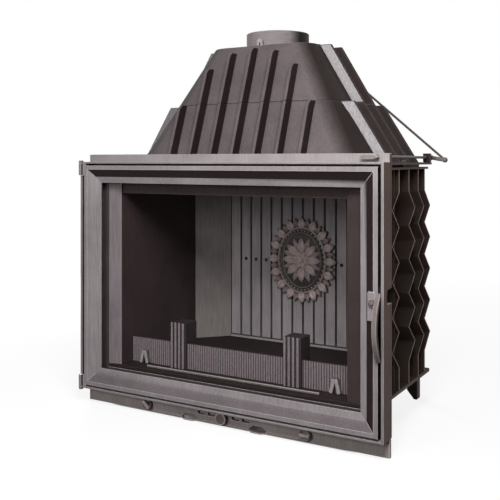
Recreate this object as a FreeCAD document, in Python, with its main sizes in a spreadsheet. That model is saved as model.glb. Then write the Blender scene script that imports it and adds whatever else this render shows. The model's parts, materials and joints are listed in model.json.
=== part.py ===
import FreeCAD, Part
import math
import os
import re
import Sketcher

# Cast-iron fireplace insert with a side-hung glass door, finned side walls and a ribbed smoke hood.
# Frame: X to the right, Y to the back, Z up. The base strip's front face lies on Y = 0, the floor on Z = 0.

# Driving sizes, in millimetres and degrees
SIZES = [
    ("front_width", 746.6, "front plate and base strip, overall width"),
    ("front_height", 580, "top of the front plate above the floor"),
    ("front_t", 12, "front plate thickness"),
    ("apron_height", 36, "base strip height"),
    ("apron_t", 8, "base strip thickness"),
    ("reveal_flare", 31, "opening in the front plate, outside the chamber on each side"),
    ("opening_top", 520, "top of the opening"),
    ("close_gap", 0.3, "gap between pieces that move past each other"),
    ("run_gap", 0.05, "radial running clearance of pins and shafts"),
    ("rim_depth", 33, "rim box, forward of the front plate"),
    ("rim_wall", 5.5, "rim box wall at the sides"),
    ("rim_shelf", 4, "rim box wall above and below the door"),
    ("rim_top", 563, "top of the rim box"),
    ("notch_rise", 8.5, "latch notch centre above the spindle"),
    ("notch_half", 14, "latch notch half height"),
    ("notch_depth", 12, "latch notch, straight part"),
    ("notch_tip", 17, "latch notch, to its point"),
    ("door_gap", 6.4, "gap between rim box and door at the sides"),
    ("door_play", 4.6, "gap between rim box and door, above and below"),
    ("door_flat", 9, "flat border of the door frame"),
    ("bevel_width", 17, "bevel of the door frame"),
    ("bevel_depth", 10, "depth of the bevel"),
    ("bead_width", 14, "inner bead of the door frame"),
    ("bead_drop", 4, "slope of the inner bead"),
    ("lip_t", 3, "lip in front of the glass"),
    ("tape_t", 1.5, "glass tape thickness"),
    ("glass_t", 4, "glass thickness"),
    ("glass_lap", 7, "rebate behind the lip"),
    ("glass_play", 1, "room round the glass"),
    ("clip_t", 2, "glass clip thickness"),
    ("clip_width", 16, "glass clip width"),
    ("clip_reach", 5, "glass clip over the glass"),
    ("clip_hold", 9, "glass clip over the frame"),
    ("clip_x", 170, "glass clips beside the middle"),
    ("screw_radius", 2, "glass clip screw"),
    ("screw_head_radius", 3, "glass clip screw head"),
    ("screw_head_t", 2, "glass clip screw head thickness"),
    ("screw_depth", 7, "glass clip screw in the frame"),
    ("screw_out", 5, "glass clip screw from the rebate"),
    ("rope_width", 6, "rope seal width"),
    ("rope_inset", 17.5, "rope seal from the door edge"),
    ("hinge_offset", 9, "hinge axis outside the door edge"),
    ("hinge_radius", 5.5, "hinge knuckle radius"),
    ("hinge_pin_radius", 3, "hinge pin radius"),
    ("knuckle_height", 27, "hinge knuckle height"),
    ("knuckle_room", 0.6, "room round the knuckles in the rim box"),
    ("web_t", 5, "web between knuckle and door"),
    ("pin_head_t", 3, "hinge pin head thickness"),
    ("pin_head_radius", 5, "hinge pin head radius"),
    ("spindle_inset", 10.4, "handle spindle from the door edge"),
    ("spindle_z", 300, "handle spindle above the floor"),
    ("spindle_radius", 4, "handle spindle radius"),
    ("pad_width", 14, "handle pad width"),
    ("pad_height", 54, "handle pad height"),
    ("pad_rise", 19, "top of the handle pad above the spindle"),
    ("pad_shift", 3, "handle pad inside the spindle"),
    ("pad_proud", 1, "handle pad in front of the door face"),
    ("handle_length", 131, "bow handle height"),
    ("handle_bulge", 28, "bow handle in front of the door face"),
    ("handle_bar", 10, "bow handle bar depth"),
    ("handle_width", 10, "bow handle bar width"),
    ("handle_out", 13, "bow handle bar outside the spindle"),
    ("handle_foot", 3, "bow handle ends in front of the door face"),
    ("handle_rise", 19, "top of the bow handle above the spindle"),
    ("hub_radius", 7, "bow handle hub"),
    ("hub_length", 6, "bow handle hub length"),
    ("arm_half", 7, "arm between hub and bow, half height"),
    ("latch_hub_radius", 6, "latch cam hub"),
    ("latch_t", 4.5, "latch cam thickness"),
    ("latch_reach", 20.5, "latch cam tip from the spindle"),
    ("latch_width", 8, "latch cam arm width"),
    ("latch_rest_angle", 45, "latch cam above level when free"),
    ("nut_t", 2.5, "spindle nut thickness"),
    ("nut_radius", 7, "spindle nut corner radius"),
    ("chamber_half", 283, "half width of the fire chamber"),
    ("liner_t", 10, "chamber liner thickness"),
    ("wall_t", 7, "side wall thickness"),
    ("liner_start", 8, "front edge of the liners"),
    ("liner_top", 488, "top of the liners and the fireback"),
    ("corner_start", 311, "rear edge of the liners"),
    ("fireback_half", 214, "half width of the fireback"),
    ("fireback_y", 384, "front face of the fireback"),
    ("fireback_t", 12, "fireback thickness"),
    ("corner_back", 14, "corner panel behind the fireback edge"),
    ("groove_pitch", 30.6, "fireback grooves"),
    ("groove_width", 3, "fireback groove width"),
    ("groove_depth", 5, "fireback groove depth"),
    ("fireback_lip", 4, "foot bead of the fireback, forward"),
    ("fireback_lip_height", 8, "foot bead of the fireback, height"),
    ("air_hole_radius", 3.5, "air holes in the fireback"),
    ("air_hole_z", 305, "air holes above the floor"),
    ("reveal_depth", 7, "flared reveals, depth"),
    ("hearth_z", 93, "hearth, top of the base plate"),
    ("plate_t", 8, "base plate thickness"),
    ("ceiling_z", 557, "underside of the top plate"),
    ("top_t", 5, "top plate thickness"),
    ("rear_wall_t", 6, "rear wall thickness"),
    ("body_back", 410, "rear edge of the top and base plates"),
    ("rear_over", 4, "plates behind the wings, outside the side walls"),
    ("wing_half", 354, "half width of the top plate wings"),
    ("wing_end", 326, "rear edge of the top plate wings"),
    ("flange_end", 334, "rear edge of the base plate flanges"),
    ("fin_out", 346, "outer edge of the side fins"),
    ("fin_t", 5, "side fin thickness"),
    ("fin_first", 128, "first side fin"),
    ("fin_pitch", 62, "side fin spacing"),
    ("fin_last", 296, "last side fin"),
    ("fin_rib", 115, "straight rib before the first fin"),
    ("fin_swing", 40, "side fin zigzag width"),
    ("fin_top", 552, "top of the side fins"),
    ("zig_top", 500, "start of the zigzag"),
    ("zig_step", 36, "height of one zigzag leg"),
    ("fin_flange_t", 5, "flange on top of the side fins"),
    ("fin_flange_start", 60, "front edge of that flange"),
    ("bolt_front", 80, "front tie bolts"),
    ("bolt_spacing", 142, "front to rear tie bolts"),
    ("bolt_radius", 4, "tie bolt radius"),
    ("bolt_play", 0.2, "room round the tie bolts"),
    ("bolt_head_radius", 7, "tie bolt head corner radius"),
    ("bolt_head_t", 5, "tie bolt head thickness"),
    ("bolt_tail", 6, "tie bolt below the flange"),
    ("lintel_t", 6, "lintel plate thickness"),
    ("lintel_low", 490, "lower edge of the lintel plate"),
    ("baffle_t", 10, "baffle plate thickness"),
    ("baffle_front", 110, "front edge of the baffle plate"),
    ("guard_y", 48, "front face of the log guard bar"),
    ("guard_t", 10, "log guard bar thickness"),
    ("guard_height", 57, "log guard bar height"),
    ("guard_end_gap", 1.5, "log guard bar ends to the liners"),
    ("flute_pitch", 6, "flutes of the log guard bar"),
    ("flute_depth", 1.5, "flute depth of the log guard bar"),
    ("post_x", 145, "log guard posts from the middle"),
    ("post_width", 41, "log guard post width"),
    ("post_front", 38, "front face of the log guard posts"),
    ("post_depth", 46, "log guard post depth"),
    ("post_height", 104, "log guard post height"),
    ("post_flute_depth", 4, "flute depth of the posts"),
    ("foot_x", 242, "lambda feet from the middle"),
    ("foot_height", 31, "lambda feet height"),
    ("foot_half", 13, "lambda feet half width"),
    ("foot_leg", 8, "lambda feet leg width"),
    ("foot_t", 11, "lambda feet thickness"),
    ("threshold_half", 217, "threshold bar half length"),
    ("threshold_y", 16, "front face of the threshold bar"),
    ("threshold_size", 5, "threshold bar section"),
    ("ornament_z", 312, "ornament centre above the floor"),
    ("ornament_half_width", 97, "ornament half width"),
    ("ornament_half_height", 117, "ornament half height"),
    ("ornament_t", 6, "ornament plate thickness"),
    ("ornament_relief", 7, "ornament ring and boss in front of its plate"),
    ("ornament_ring", 11, "ornament ring width"),
    ("stud_radius", 4, "ornament studs"),
    ("stud_spread", 100, "ornament studs, spacing"),
    ("stud_bite", 4, "ornament studs in the plate"),
    ("grate_half", 140, "grate half width"),
    ("grate_front", 90, "front edge of the grate"),
    ("grate_back", 225, "rear edge of the grate"),
    ("grate_t", 10, "grate thickness"),
    ("grate_border", 16, "grate border"),
    ("grate_bar", 9, "grate bar width"),
    ("grate_lap", 15, "grate over the edge of the ash opening"),
    ("ash_wall", 3, "ash box and ash pan walls"),
    ("ash_box_lap", 10, "ash box outside the grate"),
    ("ash_box_low", 14, "underside of the ash box"),
    ("ash_pan_room", 4, "room round the ash pan"),
    ("ash_pan_height", 50, "ash pan height"),
    ("leg_inset", 16, "rear legs from the edge of the plates"),
    ("leg_y", 395, "rear legs from the front"),
    ("leg_width", 25, "rear leg width"),
    ("leg_depth", 24, "rear leg depth"),
    ("leg_foot", 8, "rear leg foot width"),
    ("leg_rise", 20, "rear leg, inner edge above the floor"),
    ("hood_front", 50, "front foot of the hood"),
    ("hood_back", 332, "rear face of the hood"),
    ("hood_half", 296, "half width of the hood foot"),
    ("hood_corner", 75, "front corner radius at the hood foot"),
    ("split_z", 694.5, "joint between the hood castings"),
    ("split_half", 213, "half width at the joint"),
    ("split_corner", 62, "front corner radius at the joint"),
    ("hood_top", 830, "top of the hood"),
    ("top_front", 146, "front edge of the hood top"),
    ("top_half", 132, "half width of the hood top"),
    ("top_corner", 45, "front corner radius of the hood top"),
    ("rear_corner", 14, "rear corner radius of the hood"),
    ("hood_wall", 8, "hood wall"),
    ("throat_half", 250, "half width of the throat in the top plate"),
    ("throat_front", 108, "front edge of the throat"),
    ("throat_back", 310, "rear edge of the throat"),
    ("rib_t", 9, "hood rib thickness"),
    ("rib_reach", 26, "hood front ribs, forward"),
    ("rib_pitch", 55, "hood front ribs, spacing"),
    ("rib_root", 24, "hood ribs, into the wall"),
    ("rib_round", 9, "cut corners of the rib ends"),
    ("rib_top_middle", 823, "top of the middle front rib"),
    ("rib_top_inner", 814, "top of the front ribs beside it"),
    ("rib_top_outer", 779, "top of the outer upper front ribs"),
    ("side_rib_first", 142, "first hood side rib"),
    ("side_rib_pitch", 58, "hood side ribs, spacing"),
    ("side_rib_reach", 28, "hood side ribs, outward"),
    ("side_rib_top", 829, "top of the upper side ribs"),
    ("collar_y", 248, "flue collar axis"),
    ("collar_bore", 70, "flue collar inner radius"),
    ("collar_wall", 5, "flue collar wall"),
    ("collar_height", 38, "flue collar height"),
    ("hook_x", 6, "collar hook left of the collar axis"),
    ("hook_half", 8, "collar hook half width"),
    ("hook_height", 20, "collar hook height"),
    ("hook_t", 4, "collar hook thickness"),
    ("hook_slot", 4, "collar hook slot width"),
    ("hook_slot_height", 8, "collar hook slot height"),
    ("shaft_x", 346, "damper shaft from the middle"),
    ("shaft_z", 573, "damper shaft above the floor"),
    ("shaft_radius", 3, "damper shaft radius"),
    ("lever_front", 14, "damper lever, forward of the front plate"),
    ("lever_t", 9, "damper lever thickness"),
    ("lever_length", 28, "damper lever length"),
    ("lever_tip", 10, "damper lever tip, right of the shaft"),
    ("lever_cover", 3, "damper lever in front of the shaft end"),
    ("lever_neck", 4.5, "damper lever half height at the hub"),
    ("lever_bulb", 5, "damper lever half height at the grip"),
    ("lever_hub", 5.5, "damper lever hub radius"),
    ("lug_y", 310, "front face of the damper lug"),
    ("lug_depth", 12, "damper lug depth"),
    ("lug_width", 16, "damper lug width"),
    ("lug_over", 9, "damper lug above the shaft"),
    ("crank_y", 337, "front face of the damper crank"),
    ("crank_t", 5, "damper crank thickness"),
    ("crank_arm", 33, "damper crank arm"),
    ("crank_angle", 10, "damper crank below level at rest"),
    ("crank_width", 9, "damper crank width"),
    ("crank_hub", 7, "damper crank hub radius"),
    ("link_t", 5, "damper link thickness"),
    ("link_width", 5, "damper link width"),
    ("link_eye", 6, "damper link eye radius"),
    ("link_pin", 3, "damper link pin radius"),
    ("link_play", 0.3, "room round the upper link pin"),
    ("flap_x", 100, "damper flap axis from the middle"),
    ("flap_z", 783, "damper flap axis above the floor"),
    ("flap_axle", 5, "damper flap spindle radius"),
    ("flap_sleeve", 9, "damper flap sleeve radius"),
    ("flap_length", 180, "damper flap length"),
    ("flap_t", 5, "damper flap thickness"),
    ("flap_front", 176, "front edge of the damper flap"),
    ("flap_back", 318, "rear edge of the damper flap"),
    ("flap_angle", 60, "damper flap below level at rest"),
    ("boss_radius", 11, "damper flap bearing bosses"),
    ("boss_in", 172, "rear face of the front bearing boss"),
    ("boss_out", 336, "rear face of the rear bearing boss"),
    ("bearing_end", 163, "front end of the flap bearing"),
    ("valve_x", 198, "air knobs from the middle"),
    ("knob_z", 17, "air knobs above the floor"),
    ("valve_spindle", 3.5, "air valve spindle radius"),
    ("valve_disc", 13, "air valve disc radius"),
    ("valve_disc_t", 3, "air valve disc thickness"),
    ("valve_hole", 3, "air holes behind the knobs"),
    ("valve_hole_out", 8, "air holes from the valve spindle"),
    ("valve_knob", 12, "air knob radius"),
    ("valve_knob_t", 6, "air knob thickness"),
    ("valve_grip_half", 11, "air knob grip, half length"),
    ("valve_grip_width", 6, "air knob grip width"),
    ("valve_grip_proud", 4, "air knob grip, forward"),
    ("valve_neck", 4, "air knob in front of the base strip"),
    ("valve_hub", 6, "air knob hub radius"),
    ("left_grip_turn", 40, "left air knob grip, below level at its right end"),
    ("right_grip_turn", 0, "right air knob grip, below level at its right end"),
    ("valve_tail", 6, "air valve spindle behind the base strip"),
    ("slide_knob", 13, "air slide knob radius"),
    ("slide_knob_t", 9, "air slide knob thickness"),
    ("slide_stem", 3.5, "air slide stem radius"),
    ("slide_neck", 7.5, "air slide knob neck radius"),
    ("slide_travel", 6, "air slide travel each way"),
    ("slide_half", 68, "air slide plate half length"),
    ("slide_low", 10, "lower edge of the air slide plate"),
    ("slide_high", 30, "upper edge of the air slide plate"),
    ("slide_t", 3, "air slide plate thickness"),
    ("slot_first", 30.5, "inner air slots from the middle"),
    ("slot_pitch", 25.5, "air slots, spacing"),
    ("slot_length", 18.5, "air slot length"),
    ("slot_leg", 6, "air slot, width of the upright part"),
    ("slot_foot", 3.4, "air slot, height of the level part"),
    ("slot_height", 7.5, "air slot height"),
    ("slot_z", 15, "air slots above the floor"),
    ("inlet_x", 85, "low air inlets from the middle"),
    ("inlet_half", 22, "low air inlet half width at the sill"),
    ("inlet_top_half", 12, "low air inlet half width at the top"),
    ("inlet_low", 3, "sill of the low air inlets"),
    ("inlet_top", 12, "top of the low air inlets"),
    ("inlet_lip", 10, "lip of the low air inlets, forward"),
    ("toe_half", 182, "toe rail of the base strip, half length"),
    ("toe_height", 5, "toe rail height"),
    ("toe_proud", 3, "toe rail, forward"),
]
FIREBACK_GROOVES = 13
FIREBACK_HOLES = (3, 4, 5)
ZIGZAG_LEGS = 10
GRATE_SLOTS = 9
ORNAMENT_LOBES = 16
POST_FLUTES = 4
NUT_SIDES = 6
SIDES = (("left", -1), ("right", 1))
AXES = {"XY_Plane": "Z", "XZ_Plane": "Y", "YZ_Plane": "X"}
Vector = FreeCAD.Vector

doc = FreeCAD.newDocument("fireplace_insert")
sheet = doc.addObject("Spreadsheet::Sheet", "Sizes")
for row, (alias, size, words) in enumerate(SIZES, start=1):
    sheet.set(f"A{row}", words)
    sheet.set(f"B{row}", str(size))
    sheet.setAlias(f"B{row}", alias)
doc.recompute()
ALIASES = {alias for alias, _, _ in SIZES}

# Places that several pieces share, as expressions of the sheet
FRONT_HALF = "(front_width / 2)"
RIM_HALF = FRONT_HALF
RIM_INNER = f"({RIM_HALF} - rim_wall)"
RIM_FLOOR = "(apron_height + rim_shelf)"
RIM_CEILING = "(rim_top - rim_shelf)"
DOOR_HALF = f"({RIM_INNER} - door_gap)"
DOOR_LOW = f"({RIM_FLOOR} + door_play)"
DOOR_TOP = f"({RIM_CEILING} - door_play)"
DOOR_FRONT = "(-rim_depth)"
BEVEL_BACK = f"({DOOR_FRONT} + bevel_depth)"
BEAD_BACK = f"({BEVEL_BACK} + bead_drop)"
LIP_BACK = f"({BEAD_BACK} + lip_t)"
GLASS_FRONT = f"({LIP_BACK} + tape_t)"
DOOR_BACK = f"({GLASS_FRONT} + glass_t)"
PANE_INSET = "(door_flat + bevel_width + bead_width)"
REBATE_INSET = f"({PANE_INSET} - glass_lap)"
HINGE_X = f"(-({DOOR_HALF} + hinge_offset))"
SPINDLE_X = f"({DOOR_HALF} - spindle_inset)"
WALL_IN = "(chamber_half + liner_t)"
WALL_OUT = f"({WALL_IN} + wall_t)"
OPENING_HALF = "(chamber_half + reveal_flare)"
REAR_HALF = f"({WALL_OUT} + rear_over)"
LEG_X = f"({REAR_HALF} - leg_inset)"
BOLT_X = f"(({WALL_OUT} + fin_out) / 2)"
REAR_WALL_Y = "(fireback_y + fireback_t)"
BASE_LOW = "(hearth_z - plate_t)"
HOOD_BASE = "(ceiling_z + top_t)"
CRANK_BACK = "(crank_y + crank_t)"
SLIDE_Y = "(apron_t + close_gap)"


def bound(expression):
    """Return the expression with each size named through the sheet."""
    def through_sheet(word):
        return f"Sizes.{word.group()}" if word.group() in ALIASES else word.group()
    return re.sub(r"[a-z][a-z_0-9]*", through_sheet, str(expression))


def number(expression):
    """Return the present value of an expression of the sheet."""
    return float(sheet.evalExpression(bound(expression)))


def bind(item, name, expression):
    """Tie one property of an object to the sheet."""
    item.setExpression(name, bound(expression))


def span(sign, near, far):
    """Return the low and high end of a stretch on the right, or of its mirror image on the left."""
    return (near, far) if sign > 0 else (f"-({far})", f"-({near})")


def about(centre, half):
    """Return the low and high end of a stretch about a centre."""
    return (f"({centre}) - ({half})", f"({centre}) + ({half})")


def block(name, x, y, z):
    """Make a box between the low and high ends given for each axis."""
    solid = doc.addObject("Part::Box", name)
    for axis, edge, (low, high) in zip("xyz", ("Length", "Width", "Height"), (x, y, z)):
        bind(solid, f"Placement.Base.{axis}", low)
        bind(solid, edge, f"({high}) - ({low})")
    return solid


def turned_block(name, pivot, angle, x, y, z):
    """Make a box in a frame that is turned about Y at a pivot given as X and Z."""
    solid = doc.addObject("Part::Box", name)
    for edge, (low, high) in zip(("Length", "Width", "Height"), (x, y, z)):
        bind(solid, edge, f"({high}) - ({low})")
    frame = FreeCAD.Placement(Vector(number(pivot[0]), 0, number(pivot[1])), turn_about_y(angle))
    corner = Vector(number(x[0]), number(y[0]), number(z[0]))
    solid.Placement = frame * FreeCAD.Placement(corner, FreeCAD.Rotation())
    return solid


def turn_about_y(angle):
    """Return a turn about +Y, which carries +X towards -Z."""
    return FreeCAD.Rotation(Vector(0, 1, 0), number(angle))


def round_bar(name, axis, radius, centre, low, high):
    """Make a cylinder along an axis, its centre given by the other two coordinates in order."""
    solid = doc.addObject("Part::Cylinder", name)
    turns = {"x": Vector(0, 1, 0), "y": Vector(-1, 0, 0), "z": Vector(0, 0, 1)}
    angle = 0 if axis == "z" else 90
    solid.Placement = FreeCAD.Placement(Vector(), FreeCAD.Rotation(turns[axis], angle))
    bind(solid, "Radius", radius)
    bind(solid, "Height", f"({high}) - ({low})")
    bind(solid, f"Placement.Base.{axis}", low)
    for other, place in zip([letter for letter in "xyz" if letter != axis], centre):
        bind(solid, f"Placement.Base.{other}", place)
    return solid


def hexagon(name, axis, radius, centre, low, high):
    """Make a six-sided bar along Y or Z."""
    solid = doc.addObject("Part::Prism", name)
    solid.Polygon = NUT_SIDES
    if axis == "y":
        solid.Placement = FreeCAD.Placement(Vector(), FreeCAD.Rotation(Vector(-1, 0, 0), 90))
    bind(solid, "Circumradius", radius)
    bind(solid, "Height", f"({high}) - ({low})")
    bind(solid, f"Placement.Base.{axis}", low)
    for other, place in zip([letter for letter in "xyz" if letter != axis], centre):
        bind(solid, f"Placement.Base.{other}", place)
    return solid


def fuse(name, *solids):
    """Join solids into one."""
    result = doc.addObject("Part::MultiFuse", name)
    result.Shapes = list(solids)
    return result


def cut(name, base, *tools):
    """Take the tools away from a solid."""
    result = doc.addObject("Part::Cut", name)
    result.Base = base
    result.Tool = tools[0] if len(tools) == 1 else fuse(f"{name}_tools", *tools)
    return result


def group(name, *solids):
    """Keep separate solids in one node."""
    result = doc.addObject("Part::Compound", name)
    result.Links = list(solids)
    return result


def sketch_on(body, name, role, place):
    """Start a sketch on an origin plane of a body, moved along the plane's axis to a place."""
    sketch = body.newObject("Sketcher::SketchObject", name)
    plane = next(item for item in body.Origin.OriginFeatures if item.Role == role)
    sketch.AttachmentSupport = [(plane, "")]
    sketch.MapMode = "FlatFace"
    bind(sketch, "AttachmentOffset.Base.z", f"-({place})" if role == "XZ_Plane" else place)
    return sketch


def tie(sketch, item, point, x, y):
    """Tie a point of a sketch to two expressions."""
    for kind, expression in (("DistanceX", x), ("DistanceY", y)):
        index = sketch.addConstraint(Sketcher.Constraint(kind, -1, 1, item, point, number(expression)))
        bind(sketch, f"Constraints[{index}]", expression)


def outline(points):
    """Return a drawing of a closed outline with straight sides."""
    def draw(sketch):
        corners = [Vector(number(x), number(y), 0) for x, y in points]
        first = sketch.GeometryCount
        for index, corner in enumerate(corners):
            sketch.addGeometry(Part.LineSegment(corner, corners[(index + 1) % len(corners)]), False)
        for index, (x, y) in enumerate(points):
            before = first + (index - 1) % len(points)
            sketch.addConstraint(Sketcher.Constraint("Coincident", before, 2, first + index, 1))
            tie(sketch, first + index, 1, x, y)
    return draw


def rectangle(x, y):
    """Return a drawing of a rectangle between low and high ends."""
    return outline([(x[0], y[0]), (x[1], y[0]), (x[1], y[1]), (x[0], y[1])])


def circle(x, y, radius):
    """Return a drawing of a circle."""
    def draw(sketch):
        middle = Vector(number(x), number(y), 0)
        item = sketch.addGeometry(Part.Circle(middle, Vector(0, 0, 1), number(radius)), False)
        tie(sketch, item, 3, x, y)
        index = sketch.addConstraint(Sketcher.Constraint("Radius", item, number(radius)))
        bind(sketch, f"Constraints[{index}]", radius)
    return draw


def rounded(half, front, back, front_radius, back_radius):
    """Return a drawing of a rectangle about X = 0 with rounded front and rear corners."""
    def draw(sketch):
        corners = [(f"({half}) - ({front_radius})", f"({front}) + ({front_radius})", front_radius, -90),
                   (f"({half}) - ({back_radius})", f"({back}) - ({back_radius})", back_radius, 0),
                   (f"({back_radius}) - ({half})", f"({back}) - ({back_radius})", back_radius, 90),
                   (f"({front_radius}) - ({half})", f"({front}) + ({front_radius})", front_radius, 180)]
        arcs = []
        for x, y, radius, start in corners:
            ring = Part.Circle(Vector(number(x), number(y), 0), Vector(0, 0, 1), number(radius))
            arc = Part.ArcOfCircle(ring, math.radians(start), math.radians(start + 90))
            item = sketch.addGeometry(arc, False)
            arcs.append((item, arc))
            tie(sketch, item, 3, x, y)
            index = sketch.addConstraint(Sketcher.Constraint("Radius", item, number(radius)))
            bind(sketch, f"Constraints[{index}]", radius)
        for (item, arc), (following, next_arc) in zip(arcs, arcs[1:] + arcs[:1]):
            line = sketch.addGeometry(Part.LineSegment(arc.EndPoint, next_arc.StartPoint), False)
            sketch.addConstraint(Sketcher.Constraint("Tangent", item, 2, line, 1))
            sketch.addConstraint(Sketcher.Constraint("Tangent", line, 2, following, 1))
    return draw


def feature(body, kind, name, role, low, high, *drawings):
    """Add a pad or a pocket between two places along the plane's axis."""
    starts_low = (kind == "Pad") != (role == "XZ_Plane")
    sketch = sketch_on(body, f"{name}_sketch", role, low if starts_low else high)
    for draw in drawings:
        draw(sketch)
    item = body.newObject(f"PartDesign::{kind}", name)
    item.Profile = sketch
    bind(item, "Length", f"({high}) - ({low})")
    return item


def loft(body, kind, name, role, first, second):
    """Add or take away a straight loft between two drawings, each with its place."""
    sketches = []
    for index, (place, draw) in enumerate((first, second)):
        sketch = sketch_on(body, f"{name}_sketch{index}", role, place)
        draw(sketch)
        sketches.append(sketch)
    item = body.newObject(f"PartDesign::{kind}Loft", name)
    item.Profile = sketches[0]
    item.Sections = sketches[1:]
    item.Ruled = True
    return item


def new_body(name):
    """Start a body."""
    return doc.addObject("PartDesign::Body", name)


def prism(name, role, low, high, *drawings):
    """Make a body that is one pad."""
    body = new_body(name)
    feature(body, "Pad", f"{name}_pad", role, low, high, *drawings)
    return body


def front_shell():
    """Front plate, rim box with hinge ears and latch notch, and the base strip."""
    notch_z = "(spindle_z + notch_rise)"
    notch_low, notch_high = about(notch_z, "notch_half")
    notch_x = (RIM_INNER + " - rim_wall", RIM_HALF + " + rim_wall")
    plate = block("front_blank", about(0, FRONT_HALF), ("0", "front_t"), ("apron_height", "front_height"))
    opening = block("front_opening", about(0, OPENING_HALF), ("-front_t", "2 * front_t"),
                    (BASE_LOW, "opening_top"))
    passage = round_bar("front_passage", "y", "shaft_radius + run_gap", ("shaft_x", "shaft_z"),
                        "-front_t", "2 * front_t")
    edge_notch = block("front_notch", notch_x, ("-front_t", "2 * front_t"), (notch_low, notch_high))
    nodes = [cut("front_plate", plate, opening, passage, edge_notch)]

    outer = block("rim_outer", about(0, RIM_HALF), (DOOR_FRONT, "0"), ("apron_height", "rim_top"))
    inner = block("rim_inner", about(0, RIM_INNER), (f"{DOOR_FRONT} - rim_wall", "rim_wall"),
                  (RIM_FLOOR, RIM_CEILING))
    hinge = (HINGE_X, DOOR_FRONT)
    ears = [round_bar("rim_ear_low", "z", "hinge_radius", hinge, "apron_height", RIM_FLOOR),
            round_bar("rim_ear_top", "z", "hinge_radius", hinge, RIM_CEILING, "rim_top")]
    rooms = []
    reach = "knuckle_height + close_gap + knuckle_room"
    for name, low, high in (("low", RIM_FLOOR, f"{RIM_FLOOR} + {reach}"),
                            ("top", f"{RIM_CEILING} - ({reach})", RIM_CEILING)):
        rooms.append(block(f"rim_room_{name}", about(HINGE_X, "hinge_radius + knuckle_room"),
                           about(DOOR_FRONT, "hinge_radius + knuckle_room"), (low, high)))
    bores = round_bar("rim_pin_bores", "z", "hinge_pin_radius + run_gap", hinge, "0", "front_height")
    notch = prism("rim_notch", "YZ_Plane", *notch_x,
                  outline([("rim_wall", notch_low), ("-notch_depth", notch_low), ("-notch_tip", notch_z),
                           ("-notch_depth", notch_high), ("rim_wall", notch_high)]))
    walls = fuse("rim_walls", cut("rim_frame", outer, inner), *ears)
    behind = block("rim_behind", about(0, FRONT_HALF), ("0", "2 * rim_wall"), ("0", "front_height"))
    nodes.append(cut("door_surround", walls, *rooms, bores, notch, behind))
    nodes.append(base_strip())
    return nodes


def base_strip():
    """Base strip with a toe rail, air slots, low inlets with lips, and the air valve seats."""
    strip = block("strip_blank", about(0, FRONT_HALF), ("0", "apron_t"), ("0", "apron_height"))
    toe = block("strip_toe", about(0, "toe_half"), ("-toe_proud", "apron_t / 2"), ("0", "toe_height"))
    through = ("-apron_t", "2 * apron_t")
    lips = []
    holes = [block("strip_stem_slot", about(0, "slide_travel + slide_stem + close_gap"), through,
                   about("knob_z", "slide_stem + close_gap"))]
    for side, sign in SIDES:
        holes.append(round_bar(f"strip_bore_{side}", "y", "valve_spindle + run_gap",
                               (f"{sign} * valve_x", "knob_z"), *through))
        for index, place in enumerate(valve_holes(sign)):
            holes.append(round_bar(f"strip_air_{side}{index}", "y", "valve_hole", place, *through))
        x = f"({sign} * inlet_x)"
        holes.append(prism(f"strip_inlet_{side}", "XZ_Plane", *through, outline([
            (f"{x} - inlet_half", "inlet_low"), (f"{x} + inlet_half", "inlet_low"),
            (f"{x} + inlet_top_half", "inlet_top"), (f"{x} - inlet_top_half", "inlet_top")])))
        lips.append(prism(f"strip_lip_{side}", "XY_Plane", "0", "inlet_low", outline([
            (f"{x} - inlet_half", "apron_t / 2"), (f"{x} - inlet_half", "0"),
            (f"{x} - inlet_half / 2", "-inlet_lip"), (f"{x} + inlet_half / 2", "-inlet_lip"),
            (f"{x} + inlet_half", "0"), (f"{x} + inlet_half", "apron_t / 2")])))
        for order in (0, 1):
            left = slot_start(sign, order)
            holes.append(block(f"strip_slot_foot_{side}{order}", (left, f"{left} + slot_length"), through,
                               ("slot_z", "slot_z + slot_foot")))
            holes.append(block(f"strip_slot_leg_{side}{order}", (left, f"{left} + slot_leg"), through,
                               ("slot_z", "slot_z + slot_height")))
    return cut("base_apron", fuse("strip_solid", strip, toe, *lips), *holes)


def slot_start(sign, order):
    """Return the left end of an air slot on one side of the middle."""
    return f"({sign} * (slot_first + {order} * slot_pitch) - slot_length / 2)"


def valve_holes(sign):
    """Return the places of the two air holes of an air valve as X and Z expressions."""
    return [(f"{sign} * valve_x + {shift} * valve_hole_out", "knob_z") for shift in (-1, 1)]


def body_plate(name, low, high, wing, wing_end, hole_x, hole_y):
    """Plate with side wings at the front, narrower at the back, with one opening.

    The base plate also has a tongue that fills the foot of the opening in the front plate.
    """
    tongue = []
    if name == "base_plate":
        tongue = [(f"-{OPENING_HALF}", "front_t"), (f"-{OPENING_HALF}", "0"), (OPENING_HALF, "0"),
                  (OPENING_HALF, "front_t")]
    shape = outline([(f"-{wing}", "front_t"), *tongue, (wing, "front_t"), (wing, wing_end),
                     (REAR_HALF, wing_end), (REAR_HALF, "body_back"), (f"-{REAR_HALF}", "body_back"),
                     (f"-{REAR_HALF}", wing_end), (f"-{wing}", wing_end)])
    return prism(name, "XY_Plane", low, high, shape, rectangle(hole_x, hole_y), *tie_bolt_circles(name))


def tie_bolt_places():
    """Return the places of the tie bolts as X and Y expressions."""
    return [(f"{sign} * {BOLT_X}", f"bolt_front + {row} * bolt_spacing")
            for _, sign in SIDES for row in (0, 1)]


def tie_bolt_circles(name):
    """Return drawings of the tie bolt holes, which only the top plate has."""
    if name != "top_plate":
        return []
    return [circle(x, y, "bolt_radius + bolt_play") for x, y in tie_bolt_places()]


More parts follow.
